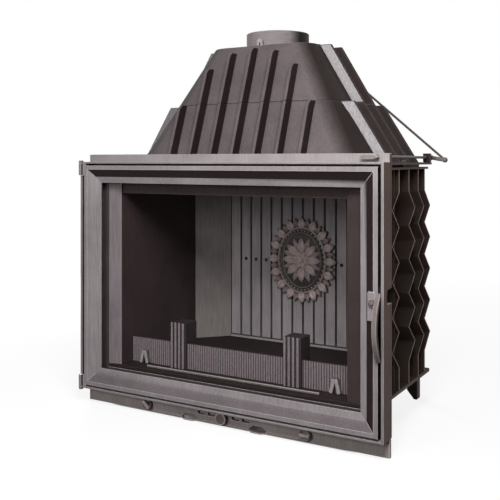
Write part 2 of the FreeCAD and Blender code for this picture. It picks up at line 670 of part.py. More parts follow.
def zigzag(place, swing):
    """Return the outline of a fin that runs straight, then zigzags, then runs straight again."""
    turns = [(place, "fin_top - fin_flange_t")]
    for leg in range(ZIGZAG_LEGS + 1):
        turns.append((f"({place}) + ({swing}) * {leg % 2}", f"zig_top - {leg} * zig_step"))
    turns.append((place, "hearth_z"))
    back = [(f"({y}) + fin_t", z) for y, z in reversed(turns)]
    return outline(turns + back)


def side_walls():
    """Side walls with zigzag fins and a flange on top of the fins."""
    nodes = []
    fins = [zigzag("fin_first", "-fin_swing"), zigzag("fin_first + fin_pitch", "fin_swing"),
            zigzag("fin_first + 2 * fin_pitch", "fin_swing"), zigzag("fin_last", "fin_swing")]
    rib = rectangle(about("fin_rib", "fin_t / 2"), ("hearth_z", "fin_top - fin_flange_t"))
    plate = outline([("liner_start", "hearth_z"), (REAR_WALL_Y, "hearth_z"), (REAR_WALL_Y, "ceiling_z"),
                     ("front_t", "ceiling_z"), ("front_t", "opening_top"), ("liner_start", "opening_top")])
    for side, sign in SIDES:
        body = new_body(f"{side}_wall")
        wall = span(sign, WALL_IN, WALL_OUT)
        feature(body, "Pad", f"{side}_wall_plate", "YZ_Plane", *wall, plate)
        reach = span(sign, WALL_OUT, "fin_out")
        for index, fin in enumerate(fins):
            feature(body, "Pad", f"{side}_wall_fin{index}", "YZ_Plane", *reach, fin)
        rib_reach = span(sign, WALL_OUT, "fin_out - fin_t")
        feature(body, "Pad", f"{side}_wall_rib", "YZ_Plane", *rib_reach, rib)
        places = [(x, y) for x, y in tie_bolt_places() if number(x) * sign > 0]
        holes = [circle(x, y, "bolt_radius + bolt_play") for x, y in places]
        feature(body, "Pad", f"{side}_wall_flange", "XY_Plane", "fin_top - fin_flange_t", "fin_top",
                rectangle(reach, ("fin_flange_start", "wing_end")), *holes)
        nodes.append(body)
    return nodes


def tie_bolts():
    """Bolts that hold the top plate to the side wall flanges."""
    bolts = []
    for index, place in enumerate(tie_bolt_places()):
        shank = round_bar(f"bolt_shank{index}", "z", "bolt_radius", place,
                          "fin_top - fin_flange_t - bolt_tail", HOOD_BASE)
        head = hexagon(f"bolt_head{index}", "z", "bolt_head_radius", place, HOOD_BASE,
                       f"{HOOD_BASE} + bolt_head_t")
        bolts.append(fuse(f"bolt{index}", shank, head))
    return group("tie_bolts", *bolts)


def chamber():
    """Walls of the fire chamber: liners, corner panels, reveals, fireback, rear wall, lintel and baffle."""
    nodes = []
    for side, sign in SIDES:
        nodes.append(block(f"{side}_liner", span(sign, "chamber_half", WALL_IN),
                           ("liner_start", "corner_start"), ("hearth_z", "liner_top")))
        corner = [("chamber_half", "corner_start"), ("fireback_half", "fireback_y"),
                  ("fireback_half", REAR_WALL_Y), ("fireback_half + corner_back", REAR_WALL_Y),
                  (WALL_IN, "corner_start + corner_back"), (WALL_IN, "corner_start")]
        nodes.append(prism(f"{side}_corner_panel", "XY_Plane", "hearth_z", "liner_top",
                           outline([(f"{sign} * ({x})", y) for x, y in corner])))
        reveal = [(OPENING_HALF, "0"), ("chamber_half", "reveal_depth"), ("chamber_half", "liner_start"),
                  (WALL_OUT, "liner_start"), (OPENING_HALF, "front_t")]
        nodes.append(prism(f"{side}_reveal", "XY_Plane", "hearth_z", "opening_top",
                           outline([(f"{sign} * ({x})", y) for x, y in reveal])))
    nodes.append(fireback())
    nodes.append(block("rear_wall", about(0, WALL_OUT), (REAR_WALL_Y, f"{REAR_WALL_Y} + rear_wall_t"),
                       ("hearth_z", "ceiling_z")))
    nodes.append(block("lintel_plate", about(0, "chamber_half - close_gap"),
                       ("front_t", "front_t + lintel_t"), ("lintel_low", "ceiling_z")))
    nodes.append(block("baffle_plate", about(0, WALL_IN), ("baffle_front", REAR_WALL_Y),
                       ("liner_top", "liner_top + baffle_t")))
    return nodes


def fireback():
    """Grooved fireback with a foot bead, air holes and holes for the ornament's studs."""
    plate = block("fireback_blank", about(0, "fireback_half"), ("fireback_y", REAR_WALL_Y),
                  ("hearth_z", "liner_top"))
    bead = block("fireback_bead", about(0, "fireback_half"), ("fireback_y - fireback_lip", "fireback_y"),
                 ("hearth_z", "hearth_z + fireback_lip_height"))
    tools = []
    middle = (FIREBACK_GROOVES - 1) // 2
    for index in range(FIREBACK_GROOVES):
        centre = f"({index - middle}) * groove_pitch"
        tools.append(block(f"fireback_groove{index}", about(centre, "groove_width / 2"),
                           ("fireback_y - groove_depth", "fireback_y + groove_depth"),
                           ("hearth_z + fireback_lip_height", "liner_top + groove_depth")))
    through = ("fireback_y - fireback_t", "fireback_y + 2 * fireback_t")
    for bay in FIREBACK_HOLES:
        for side, sign in SIDES:
            tools.append(round_bar(f"fireback_hole_{side}{bay}", "y", "air_hole_radius",
                                   (f"{sign} * ({bay} + 0.5) * groove_pitch", "air_hole_z"), *through))
    for index, place in enumerate(stud_places()):
        tools.append(round_bar(f"fireback_stud_hole{index}", "y", "stud_radius + run_gap", place, *through))
    return cut("fireback", fuse("fireback_solid", plate, bead), *tools)


def stud_places():
    """Return the places of the ornament's studs as X and Z expressions."""
    return [("0", f"ornament_z + {sign} * stud_spread / 2") for _, sign in SIDES]


def ornament():
    """Oval ornament with a lobed edge, a raised ring and a domed boss, and its studs."""
    half_width = number("ornament_half_width")
    half_height = number("ornament_half_height")
    back = number("fireback_y")
    front = back - number("ornament_t")
    relief = number("ornament_relief")

    def on_oval(share, angle, y):
        return Vector(share * half_width * math.cos(angle), y,
                      number("ornament_z") + share * half_height * math.sin(angle))

    step = 2 * math.pi / ORNAMENT_LOBES
    notch_share = 0.9
    lobes = []
    for index in range(ORNAMENT_LOBES):
        start = index * step
        arc = Part.Arc(on_oval(notch_share, start, back), on_oval(1, start + step / 2, back),
                       on_oval(notch_share, start + step, back))
        lobes.append(arc.toShape())
    plate = Part.Face(Part.Wire(lobes)).extrude(Vector(0, front - back, 0))

    def oval_slab(narrowing, low, high):
        ring = Part.Ellipse(Vector(0, 0, 0), half_height - narrowing, half_width - narrowing)
        face = Part.Face(Part.Wire(ring.toShape()))
        upright = FreeCAD.Rotation(Vector(0, 0, 1), Vector(1, 0, 0), Vector(0, 1, 0), "ZXY")
        face.Placement = FreeCAD.Placement(Vector(0, low, number("ornament_z")), upright)
        return face.extrude(Vector(0, high - low, 0))

    ring_out = number("ornament_half_width") * (1 - notch_share) + 2 * number("ornament_ring")
    ring_in = ring_out + number("ornament_ring")
    ring = oval_slab(ring_out, front - relief, front).cut(oval_slab(ring_in, front - relief, front))
    boss = oval_slab(ring_in + 2 * number("ornament_ring"), front - relief / 2, front)
    shape = plate.fuse([ring, boss]).removeSplitter()
    for x, z in stud_places():
        hole = Part.makeCylinder(number("stud_radius + run_gap"), number("stud_bite"),
                                 Vector(number(x), back - number("stud_bite"), number(z)), Vector(0, 1, 0))
        shape = shape.cut(hole)
    cast = doc.addObject("Part::Feature", "ornament")
    cast.Shape = shape
    stud_y = ("fireback_y - stud_bite", REAR_WALL_Y)
    studs = [round_bar(f"ornament_stud{index}", "y", "stud_radius", place, *stud_y)
             for index, place in enumerate(stud_places())]
    return [cast, group("ornament_studs", *studs)]


def fluted_block(name, x, y, z, pitch, depth):
    """Make an upright block whose front face is cut into flutes."""
    x_low, x_high = number(x[0]), number(x[1])
    y_low, y_high = number(y[0]), number(y[1])
    count = max(1, round((x_high - x_low) / pitch))
    step = (x_high - x_low) / count
    corners = [Vector(x_high, y_high, number(z[0])), Vector(x_low, y_high, number(z[0]))]
    for index in range(count):
        left = x_low + index * step
        for share, sink in ((0.0, 0.0), (0.45, 0.0), (0.6, depth), (0.85, depth)):
            corners.append(Vector(left + share * step, y_low + sink, number(z[0])))
    corners.append(Vector(x_high, y_low, number(z[0])))
    face = Part.Face(Part.makePolygon(corners + corners[:1]))
    solid = doc.addObject("Part::Feature", name)
    solid.Shape = face.extrude(Vector(0, 0, number(z[1]) - number(z[0])))
    return solid


def log_guard():
    """Log guard: fluted bar, two fluted posts that straddle it, lambda feet and the threshold bar."""
    bar_y = ("guard_y", "guard_y + guard_t")
    bar_top = "(hearth_z + guard_height)"
    nodes = [fluted_block("guard_bar", about(0, "chamber_half - guard_end_gap"), bar_y, ("hearth_z", bar_top),
                          number("flute_pitch"), number("flute_depth"))]
    for side, sign in SIDES:
        post = fluted_block(f"{side}_post_blank", about(f"{sign} * post_x", "post_width / 2"),
                            ("post_front", "post_front + post_depth"), ("hearth_z", "hearth_z + post_height"),
                            number("post_width") / POST_FLUTES, number("post_flute_depth"))
        saddle = block(f"{side}_post_saddle", about(f"{sign} * post_x", "post_width"),
                       ("guard_y - close_gap", "guard_y + guard_t + close_gap"),
                       ("0", f"{bar_top} + close_gap"))
        nodes.append(cut(f"{side}_guard_post", post, saddle))
    feet = []
    for side, sign in SIDES:
        centre = f"({sign} * foot_x)"
        slope = "(foot_half - foot_leg) * (foot_height - foot_leg) / foot_height"
        feet.append(prism(f"{side}_foot", "XZ_Plane", "guard_y - foot_t", "guard_y", outline([
            (f"{centre} - foot_half", "hearth_z"), (f"{centre} - foot_half + foot_leg", "hearth_z"),
            (centre, "hearth_z + foot_height - foot_leg"), (f"{centre} + foot_half - foot_leg", "hearth_z"),
            (f"{centre} + foot_half", "hearth_z"),
            (f"{centre} + foot_half - ({slope})", "hearth_z + foot_height"),
            (f"{centre} - foot_half + ({slope})", "hearth_z + foot_height")])))
    nodes.append(group("guard_feet", *feet))
    nodes.append(block("threshold_bar", about(0, "threshold_half"),
                       ("threshold_y", "threshold_y + threshold_size"),
                       ("hearth_z", "hearth_z + threshold_size")))
    return nodes


def ash_gear():
    """Grate on the base plate, and the ash box and ash pan below it."""
    grate = block("grate_blank", about(0, "grate_half"), ("grate_front", "grate_back"),
                  ("hearth_z", "hearth_z + grate_t"))
    room = "(2 * grate_half - 2 * grate_border - (%d - 1) * grate_bar)" % GRATE_SLOTS
    slots = []
    for index in range(GRATE_SLOTS):
        left = f"(-grate_half + grate_border + {index} * ({room} / {GRATE_SLOTS} + grate_bar))"
        slots.append(block(f"grate_slot{index}", (left, f"{left} + {room} / {GRATE_SLOTS}"),
                           ("grate_front + grate_border", "grate_back - grate_border"),
                           ("hearth_z - grate_t", "hearth_z + 2 * grate_t")))
    nodes = [cut("grate", grate, *slots)]
    box_x = about(0, "grate_half + ash_box_lap")
    box_y = ("grate_front - ash_box_lap", "grate_back + ash_box_lap")
    inner_x = about(0, "grate_half + ash_box_lap - ash_wall")
    inner_y = ("grate_front - ash_box_lap + ash_wall", "grate_back + ash_box_lap - ash_wall")
    nodes.append(cut("ash_box", block("ash_box_blank", box_x, box_y, ("ash_box_low", BASE_LOW)),
                     block("ash_box_room", inner_x, inner_y, ("ash_box_low + ash_wall", "hearth_z"))))
    pan_half = "(grate_half + ash_box_lap - ash_wall - ash_pan_room)"
    pan_front = "(grate_front - ash_box_lap + ash_wall + ash_pan_room)"
    pan_back = "(grate_back + ash_box_lap - ash_wall - ash_pan_room)"
    pan_low = "(ash_box_low + ash_wall)"
    nodes.append(cut("ash_pan", block("ash_pan_blank", about(0, pan_half), (pan_front, pan_back),
                                      (pan_low, f"{pan_low} + ash_pan_height")),
                     block("ash_pan_room_cut", about(0, f"{pan_half} - ash_wall"),
                           (f"{pan_front} + ash_wall", f"{pan_back} - ash_wall"),
                           (f"{pan_low} + ash_wall", "hearth_z"))))
    return nodes


def rear_legs():
    """Two rear legs under the base plate, cut away at the inner edge of the foot."""
    inner, outer = about(LEG_X, "leg_width / 2")
    profile = [(inner, BASE_LOW), (outer, BASE_LOW), (outer, "0"), (f"{outer} - leg_foot", "0"),
               (inner, "leg_rise")]
    legs = [prism(f"{side}_leg", "XZ_Plane", *about("leg_y", "leg_depth / 2"),
                  outline([(f"{sign} * ({x})", z) for x, z in profile])) for side, sign in SIDES]
    return group("rear_legs", *legs)


def front_at(z):
    """Return the hood's front face at a height."""
    return f"(hood_front + (top_front - hood_front) * (({z}) - {HOOD_BASE}) / (hood_top - {HOOD_BASE}))"


def side_at(z, upper):
    """Return the hood's half width at a height of the lower or the upper casting."""
    if upper:
        return f"(split_half + (top_half - split_half) * (({z}) - split_z) / (hood_top - split_z))"
    return f"(hood_half + (split_half - hood_half) * (({z}) - {HOOD_BASE}) / (split_z - {HOOD_BASE}))"


def cut_corner(low, high):
    """Return the cut corner at a rib's end, at most half of the rib's height."""
    return f"min(rib_round; (({high}) - ({low})) / 2)"


def front_rib(low, high, cut_end):
    """Return the side outline of a front rib between two heights."""
    ends = [(f"{front_at(high)} - rib_reach", high)]
    corner = cut_corner(low, high)
    if cut_end:
        ends = [(f"{front_at(high)} - rib_reach - {corner} / 4", f"({high}) - {corner}"),
                (f"{front_at(high)} - rib_reach + {corner}", high)]
    return outline([(f"{front_at(low)} + rib_root", low), (f"{front_at(low)} - rib_reach", low), *ends,
                    (f"{front_at(high)} + rib_root", high)])


def side_rib(sign, low, high, upper):
    """Return the front outline of a side rib between two heights."""
    foot = side_at(low, upper)
    end = side_at(high, upper)
    points = [(f"{foot} - rib_root", low), (f"{foot} + side_rib_reach", low),
              (f"{end} + side_rib_reach", high), (f"{end} - rib_root", high)]
    return outline([(f"{sign} * ({x})", z) for x, z in points])


def hood_section(half, front, corner, wall):
    """Return a drawing of one level section of the hood, drawn in by a wall."""
    return rounded(f"({half}) - {wall}", f"({front}) + {wall}", f"hood_back - {wall}", f"({corner}) - {wall}",
                   f"rear_corner - {wall}")


def lower_hood():
    """Lower hood casting: hollow, with seven front ribs and four ribs on each side."""
    body = new_body("lower_hood")
    foot = (HOOD_BASE, "hood_half", "hood_front", "hood_corner")
    joint = ("split_z", "split_half", front_at("split_z"), "split_corner")
    outer, inner = [[(z, hood_section(*sizes, wall)) for z, *sizes in (foot, joint)]
                    for wall in ("0", "hood_wall")]
    loft(body, "Additive", "lower_hood_shell", "XY_Plane", *outer)
    for index in range(-3, 4):
        feature(body, "Pad", f"lower_hood_rib{index + 3}", "YZ_Plane",
                *about(f"{index} * rib_pitch", "rib_t / 2"), front_rib(HOOD_BASE, "split_z", abs(index) == 3))
    for side, sign in SIDES:
        for index in range(4):
            start = f"(side_rib_first + {index} * side_rib_pitch)"
            feature(body, "Pad", f"lower_hood_{side}_rib{index}", "XZ_Plane", start, f"{start} + rib_t",
                    side_rib(sign, HOOD_BASE, "split_z", False))
    loft(body, "Subtractive", "lower_hood_hollow", "XY_Plane", *inner)
    return body


def upper_hood():
    """Upper hood casting: hollow, with a flue hole, ribs and the bearings of the damper flap."""
    body = new_body("upper_hood")
    joint = ("split_z", "split_half", front_at("split_z"), "split_corner")
    crown = ("hood_top", "top_half", "top_front", "top_corner")
    ceiling = "(hood_top - hood_wall)"
    inside = (ceiling, side_at(ceiling, True), front_at(ceiling), "top_corner")
    outer = [(z, hood_section(*sizes, "0")) for z, *sizes in (joint, crown)]
    inner = [(z, hood_section(*sizes, "hood_wall")) for z, *sizes in (joint, inside)]
    loft(body, "Additive", "upper_hood_shell", "XY_Plane", *outer)
    tops = ("rib_top_outer", "rib_top_inner", "rib_top_middle", "rib_top_inner", "rib_top_outer")
    for index, top in enumerate(tops):
        feature(body, "Pad", f"upper_hood_rib{index}", "YZ_Plane",
                *about(f"({index - 2}) * rib_pitch", "rib_t / 2"), front_rib("split_z", top, True))
    for side, sign in SIDES:
        for index in (1, 2):
            start = f"(side_rib_first + {index} * side_rib_pitch)"
            feature(body, "Pad", f"upper_hood_{side}_rib{index}", "XZ_Plane", start, f"{start} + rib_t",
                    side_rib(sign, "split_z", "side_rib_top", True))
    loft(body, "Subtractive", "upper_hood_hollow", "XY_Plane", *inner)
    feature(body, "Pad", "upper_hood_front_boss", "XZ_Plane", f"{front_at('flap_z')} + hood_wall / 2",
            "boss_in", circle("flap_x", "flap_z", "boss_radius"))
    feature(body, "Pad", "upper_hood_rear_boss", "XZ_Plane", "hood_back - hood_wall", "boss_out",
            circle("flap_x", "flap_z", "boss_radius"))
    feature(body, "Pocket", "upper_hood_flue_hole", "XY_Plane", ceiling + " - hood_wall", "hood_top",
            circle("0", "collar_y", "collar_bore"))
    feature(body, "Pocket", "upper_hood_bearing", "XZ_Plane", "bearing_end", "boss_out",
            circle("flap_x", "flap_z", "flap_axle + run_gap"))
    return body


def flue_collar():
    """Flue collar and the small hook at its foot."""
    high = "(hood_top + collar_height)"
    centre = ("0", "collar_y")
    tube = round_bar("collar_tube", "z", "collar_bore + collar_wall", centre, "hood_top", high)
    bore = round_bar("collar_hollow", "z", "collar_bore", centre, "hood_top - collar_wall",
                     f"{high} + collar_wall")
    nodes = [cut("flue_collar", tube, bore)]
    edge = "(collar_y - sqrt((collar_bore + collar_wall) ^ 2 - hook_x ^ 2))"
    tab_y = (f"{edge} - hook_t", f"{edge} + hook_t / 2")
    crown_z = "(hood_top + hook_height - hook_half)"
    tab = fuse("hook_tab", block("hook_plate", about("-hook_x", "hook_half"), tab_y, ("hood_top", crown_z)),
               round_bar("hook_crown", "y", "hook_half", ("-hook_x", crown_z), *tab_y))
    slot_low = "(hood_top + hook_t / 2)"
    slot = block("hook_slot_cut", about("-hook_x", "hook_slot / 2"),
                 (f"{edge} - 2 * hook_t", f"{edge} + hook_t"), (slot_low, f"{slot_low} + hook_slot_height"))
    clear = round_bar("hook_clear", "z", "collar_bore + collar_wall", centre, "hood_top - collar_wall", high)
    nodes.append(cut("collar_hook", tab, slot, clear))
    return nodes


def door_rectangle(inset):
    """Return a drawing of the door outline, drawn in by an inset."""
    return rectangle(about(0, f"{DOOR_HALF} - ({inset})"),
                     (f"{DOOR_LOW} + ({inset})", f"{DOOR_TOP} - ({inset})"))


def door_frame():
    """Door frame with flat, bevel and bead, glass rebate, handle pad, knuckles and screw holes."""
    body = new_body("door_frame")
    bevel_inset = "(door_flat + bevel_width)"
    feature(body, "Pad", "door_blank", "XZ_Plane", DOOR_FRONT, DOOR_BACK, door_rectangle("0"))
    loft(body, "Subtractive", "door_bevel", "XZ_Plane", (DOOR_FRONT, door_rectangle("door_flat")),
         (BEVEL_BACK, door_rectangle(bevel_inset)))
    loft(body, "Subtractive", "door_bead", "XZ_Plane", (BEVEL_BACK, door_rectangle(bevel_inset)),
         (BEAD_BACK, door_rectangle(PANE_INSET)))
    feature(body, "Pocket", "door_window", "XZ_Plane", BEAD_BACK, DOOR_BACK, door_rectangle(PANE_INSET))
    feature(body, "Pocket", "door_rebate", "XZ_Plane", LIP_BACK, DOOR_BACK, door_rectangle(REBATE_INSET))
    pad_x = about(f"{SPINDLE_X} - pad_shift", "pad_width / 2")
    pad_top = "(spindle_z + pad_rise)"
    feature(body, "Pad", "door_handle_pad", "XZ_Plane", f"{DOOR_FRONT} - pad_proud", f"{BEVEL_BACK}",
            rectangle(pad_x, (f"{pad_top} - pad_height", pad_top)))
    for name, low, high in knuckle_spans():
        feature(body, "Pad", f"door_knuckle_{name}", "XY_Plane", low, high,
                circle(HINGE_X, DOOR_FRONT, "hinge_radius"))
        feature(body, "Pad", f"door_web_{name}", "XY_Plane", low, high,
                rectangle((HINGE_X, f"-({DOOR_HALF}) + web_t"), (DOOR_FRONT, f"{DOOR_FRONT} + web_t")))
        feature(body, "Pocket", f"door_bore_{name}", "XY_Plane", low, high,
                circle(HINGE_X, DOOR_FRONT, "hinge_pin_radius + run_gap"))
    feature(body, "Pocket", "door_spindle_hole", "XZ_Plane", f"{DOOR_FRONT} - pad_proud", DOOR_BACK,
            circle(SPINDLE_X, "spindle_z", "spindle_radius + run_gap"))
    feature(body, "Pocket", "door_screw_holes", "XZ_Plane", f"{DOOR_BACK} - screw_depth", DOOR_BACK,
            *[circle(x, z, "screw_radius + run_gap") for x, z, _, _ in glass_clip_places()])
    return body


def knuckle_spans():
    """Return the name, low end and high end of each door knuckle."""
    low = f"({RIM_FLOOR} + close_gap)"
    top = f"({RIM_CEILING} - close_gap)"
    return (("low", low, f"{low} + knuckle_height"), ("top", f"{top} - knuckle_height", top))


def glass_clip_places():
    """Return each glass clip's screw X and Z, and the low and high ends of its plate in X and Z."""
    places = []
    middle = f"(({DOOR_LOW} + {DOOR_TOP}) / 2)"
    for _, sign in SIDES:
        edge = f"({DOOR_HALF} - {REBATE_INSET})"
        places.append((f"{sign} * ({edge} + screw_out)", middle,
                       span(sign, f"{edge} - clip_reach", f"{edge} + clip_hold"),
                       about(middle, "clip_width / 2")))
        x = f"({sign} * clip_x)"
        low = f"({DOOR_LOW} + {REBATE_INSET})"
        top = f"({DOOR_TOP} - {REBATE_INSET})"
        places.append((x, f"{low} - screw_out", about(x, "clip_width / 2"),
                       (f"{low} - clip_hold", f"{low} + clip_reach")))
        places.append((x, f"{top} + screw_out", about(x, "clip_width / 2"),
                       (f"{top} - clip_reach", f"{top} + clip_hold")))
    return places


def door_fittings():
    """Glass, glass tape, clips, screws and rope seal of the door."""
    glass_half = f"({DOOR_HALF} - {REBATE_INSET} - glass_play)"
    glass_z = (f"{DOOR_LOW} + {REBATE_INSET} + glass_play", f"{DOOR_TOP} - {REBATE_INSET} - glass_play")
    pane_z = (f"{DOOR_LOW} + {PANE_INSET}", f"{DOOR_TOP} - {PANE_INSET}")
    nodes = [block("door_glass", about(0, glass_half), (GLASS_FRONT, DOOR_BACK), glass_z)]
    tape = block("tape_blank", about(0, glass_half), (LIP_BACK, GLASS_FRONT), glass_z)
    nodes.append(cut("glass_tape", tape, block("tape_window", about(0, f"{DOOR_HALF} - {PANE_INSET}"),
                                               (f"{LIP_BACK} - tape_t", f"{GLASS_FRONT} + tape_t"), pane_z)))
    clips = []
    screws = []
    clip_back = f"({DOOR_BACK} + clip_t)"
    for index, (x, z, clip_x, clip_z) in enumerate(glass_clip_places()):
        plate = block(f"clip_plate{index}", clip_x, (DOOR_BACK, clip_back), clip_z)
        hole = round_bar(f"clip_hole{index}", "y", "screw_radius + run_gap", (x, z), f"{DOOR_BACK} - clip_t",
                         f"{clip_back} + clip_t")
        clips.append(cut(f"clip{index}", plate, hole))
        shank = round_bar(f"screw_shank{index}", "y", "screw_radius", (x, z), f"{DOOR_BACK} - screw_depth",
                          clip_back)
        head = round_bar(f"screw_head{index}", "y", "screw_head_radius", (x, z), clip_back,
                         f"{clip_back} + screw_head_t")
        screws.append(fuse(f"screw{index}", shank, head))
    nodes.append(group("glass_clips", *clips))
    nodes.append(group("glass_screws", *screws))
    rope_y = (DOOR_BACK, "-close_gap")
    rope_in = "(rope_inset + rope_width)"
    rope = block("rope_blank", about(0, f"{DOOR_HALF} - rope_inset"), rope_y,
                 (f"{DOOR_LOW} + rope_inset", f"{DOOR_TOP} - rope_inset"))
    window = block("rope_window", about(0, f"{DOOR_HALF} - {rope_in}"),
                   (f"{DOOR_BACK} - rope_width", "rope_width"),
                   (f"{DOOR_LOW} + {rope_in}", f"{DOOR_TOP} - {rope_in}"))
    nodes.append(cut("door_rope", rope, window))
    return nodes


def hinge_pins():
    """Two headed hinge pins through the ears of the rim box."""
    place = (HINGE_X, DOOR_FRONT)
    low_ends = ("apron_height - pin_head_t", "apron_height", f"{RIM_FLOOR} + knuckle_height")
    top_ends = (f"{RIM_CEILING} - knuckle_height", "rim_top", "rim_top + pin_head_t")
    low = fuse("pin_low", round_bar("pin_low_head", "z", "pin_head_radius", place, *low_ends[:2]),
               round_bar("pin_low_shank", "z", "hinge_pin_radius", place, *low_ends[1:]))
    top = fuse("pin_top", round_bar("pin_top_shank", "z", "hinge_pin_radius", place, *top_ends[:2]),
               round_bar("pin_top_head", "z", "pin_head_radius", place, *top_ends[1:]))
    return group("hinge_pins", low, top)


def door_handle():
    """Bow handle with its spindle, latch cam and nut."""
    sagitta = "(handle_bulge - handle_foot)"
    radius = f"((handle_length ^ 2 / 4 + {sagitta} ^ 2) / (2 * {sagitta}))"
    middle_z = "(spindle_z + handle_rise - handle_length / 2)"
    middle_y = f"({DOOR_FRONT} - handle_bulge + {radius})"
    bar_centre = f"({SPINDLE_X} + handle_out)"
    bar_x = about(bar_centre, "handle_width / 2")
    outer = round_bar("bow_outer", "x", radius, (middle_y, middle_z), *bar_x)
    inner = round_bar("bow_inner", "x", f"{radius} - handle_bar", (middle_y, middle_z),
                      *about(bar_centre, "handle_width"))
    front = block("bow_limit", about(bar_centre, "handle_width"),
                  (f"{DOOR_FRONT} - 2 * handle_bulge", f"{DOOR_FRONT} - handle_foot"),
                  about(middle_z, "handle_length"))
    bow = doc.addObject("Part::Common", "bow")
    bow.Base = cut("bow_ring", outer, inner)
    bow.Tool = front
    pad_front = f"({DOOR_FRONT} - pad_proud)"
    spindle = (SPINDLE_X, "spindle_z")
    hub_front = f"({pad_front} - hub_length)"
    hub_y = (hub_front, f"{pad_front} - close_gap")
    hub = round_bar("bow_hub", "y", "hub_radius", spindle, *hub_y)
    arm = block("bow_arm", (SPINDLE_X, bar_x[1]), hub_y, about("spindle_z", "arm_half"))
    bore = round_bar("bow_bore", "y", "spindle_radius", spindle, hub_front, pad_front)
    nodes = [cut("door_handle", fuse("bow_solid", bow, hub, arm), bore)]
    latch_front = f"({DOOR_BACK} + close_gap)"
    latch_back = f"({latch_front} + latch_t)"
    nut_back = f"({latch_back} + nut_t)"
    nodes.append(round_bar("handle_spindle", "y", "spindle_radius", spindle, hub_front, nut_back))
    tip = "(latch_reach - latch_width / 2)"
    hub = round_bar("latch_hub", "y", "latch_hub_radius", spindle, latch_front, latch_back)
    arm = turned_block("latch_arm", spindle, "-latch_rest_angle", ("0", tip), (latch_front, latch_back),
                       ("-latch_width / 2", "latch_width / 2"))
    tip_place = (f"{SPINDLE_X} + {tip} * cos(latch_rest_angle)", f"spindle_z + {tip} * sin(latch_rest_angle)")
    end = round_bar("latch_tip", "y", "latch_width / 2", tip_place, latch_front, latch_back)
    bore = round_bar("latch_bore", "y", "spindle_radius", spindle, latch_front, latch_back)
    nodes.append(cut("latch_cam", fuse("latch_solid", hub, arm, end), bore))
    nut = hexagon("nut_blank", "y", "nut_radius", spindle, latch_back, nut_back)
    nut_bore = round_bar("nut_bore", "y", "spindle_radius", spindle, latch_back, nut_back)
    nodes.append(cut("spindle_nut", nut, nut_bore))
    return nodes


def air_knob(side, sign):
    """Round air knob with a grip bar and its spindle, and the holed valve disc behind the base strip."""
    place = (f"({sign} * valve_x)", "knob_z")
    front = "(-valve_neck - valve_knob_t)"
    disc = round_bar(f"{side}_knob_disc", "y", "valve_knob", place, front, "-valve_neck")
    grip = turned_block(f"{side}_knob_grip", place, f"{side}_grip_turn", about(0, "valve_grip_half"),
                        (f"{front} - valve_grip_proud", "-valve_neck"), about(0, "valve_grip_width / 2"))
    hub = round_bar(f"{side}_knob_hub", "y", "valve_hub", place, front, "-close_gap")
    spindle = round_bar(f"{side}_knob_spindle", "y", "valve_spindle", place, front, "apron_t + valve_tail")
    valve_y = (SLIDE_Y, f"{SLIDE_Y} + valve_disc_t")
    valve = round_bar(f"{side}_disc_blank", "y", "valve_disc", place, *valve_y)
    bores = [round_bar(f"{side}_disc_bore", "y", "valve_spindle", place, *valve_y)]
    for index, hole in enumerate(valve_holes(sign)):
        bores.append(round_bar(f"{side}_disc_hole{index}", "y", "valve_hole", hole, *valve_y))
    return [fuse(f"{side}_air_knob", disc, grip, hub, spindle), cut(f"{side}_valve_disc", valve, *bores)]


def air_slide():
    """Sliding air plate behind the base strip and its round knob."""
    slide_back = f"({SLIDE_Y} + slide_t)"
    plate = block("slide_blank", about(0, "slide_half"), (SLIDE_Y, slide_back), ("slide_low", "slide_high"))
    tools = [round_bar("slide_bore", "y", "slide_stem", ("0", "knob_z"), "0", f"{slide_back} + slide_t")]
    for side, sign in SIDES:
        for order in (0, 1):
            left = slot_start(sign, order)
            tools.append(block(f"slide_slot_{side}{order}", (left, f"{left} + slot_leg"),
                               ("0", f"{slide_back} + slide_t"), ("slot_z", "slot_z + slot_height")))
    place = ("0", "knob_z")
    knob = fuse("air_slide_knob",
                round_bar("slide_knob_head", "y", "slide_knob", place, "-valve_neck - slide_knob_t",
                          "-valve_neck"),
                round_bar("slide_knob_neck", "y", "slide_neck", place, "-valve_neck", "-close_gap"),
                round_bar("slide_knob_stem", "y", "slide_stem", place, "-valve_neck", slide_back))
    return [cut("air_slide_plate", plate, *tools), knob]


def link_ends():
    """Return the crank pin and the flap lever pin as X and Z expressions."""
    reach = ("crank_arm * cos(crank_angle)", "crank_arm * sin(crank_angle)")
    return ((f"(shaft_x + {reach[0]})", f"(shaft_z - {reach[1]})"),
            (f"(flap_x + {reach[0]})", f"(flap_z - {reach[1]})"))


def crank(name, pivot, bore, pin):
    """Crank plate with a hub, an arm and a pin that stands out behind it."""
    plane = ("crank_y", CRANK_BACK)
    hub = round_bar(f"{name}_hub", "y", "crank_hub", pivot, *plane)
    arm = turned_block(f"{name}_arm", pivot, "crank_angle", ("0", "crank_arm"), plane,
                       ("-crank_width / 2", "crank_width / 2"))
    end = round_bar(f"{name}_end", "y", "crank_width / 2", pin, *plane)
    stub = round_bar(f"{name}_pin", "y", "link_pin", pin, "crank_y", f"{CRANK_BACK} + close_gap + link_t")
    hole = round_bar(f"{name}_bore", "y", bore, pivot, "crank_y", CRANK_BACK)
    return cut(name, fuse(f"{name}_solid", hub, arm, end, stub), hole)


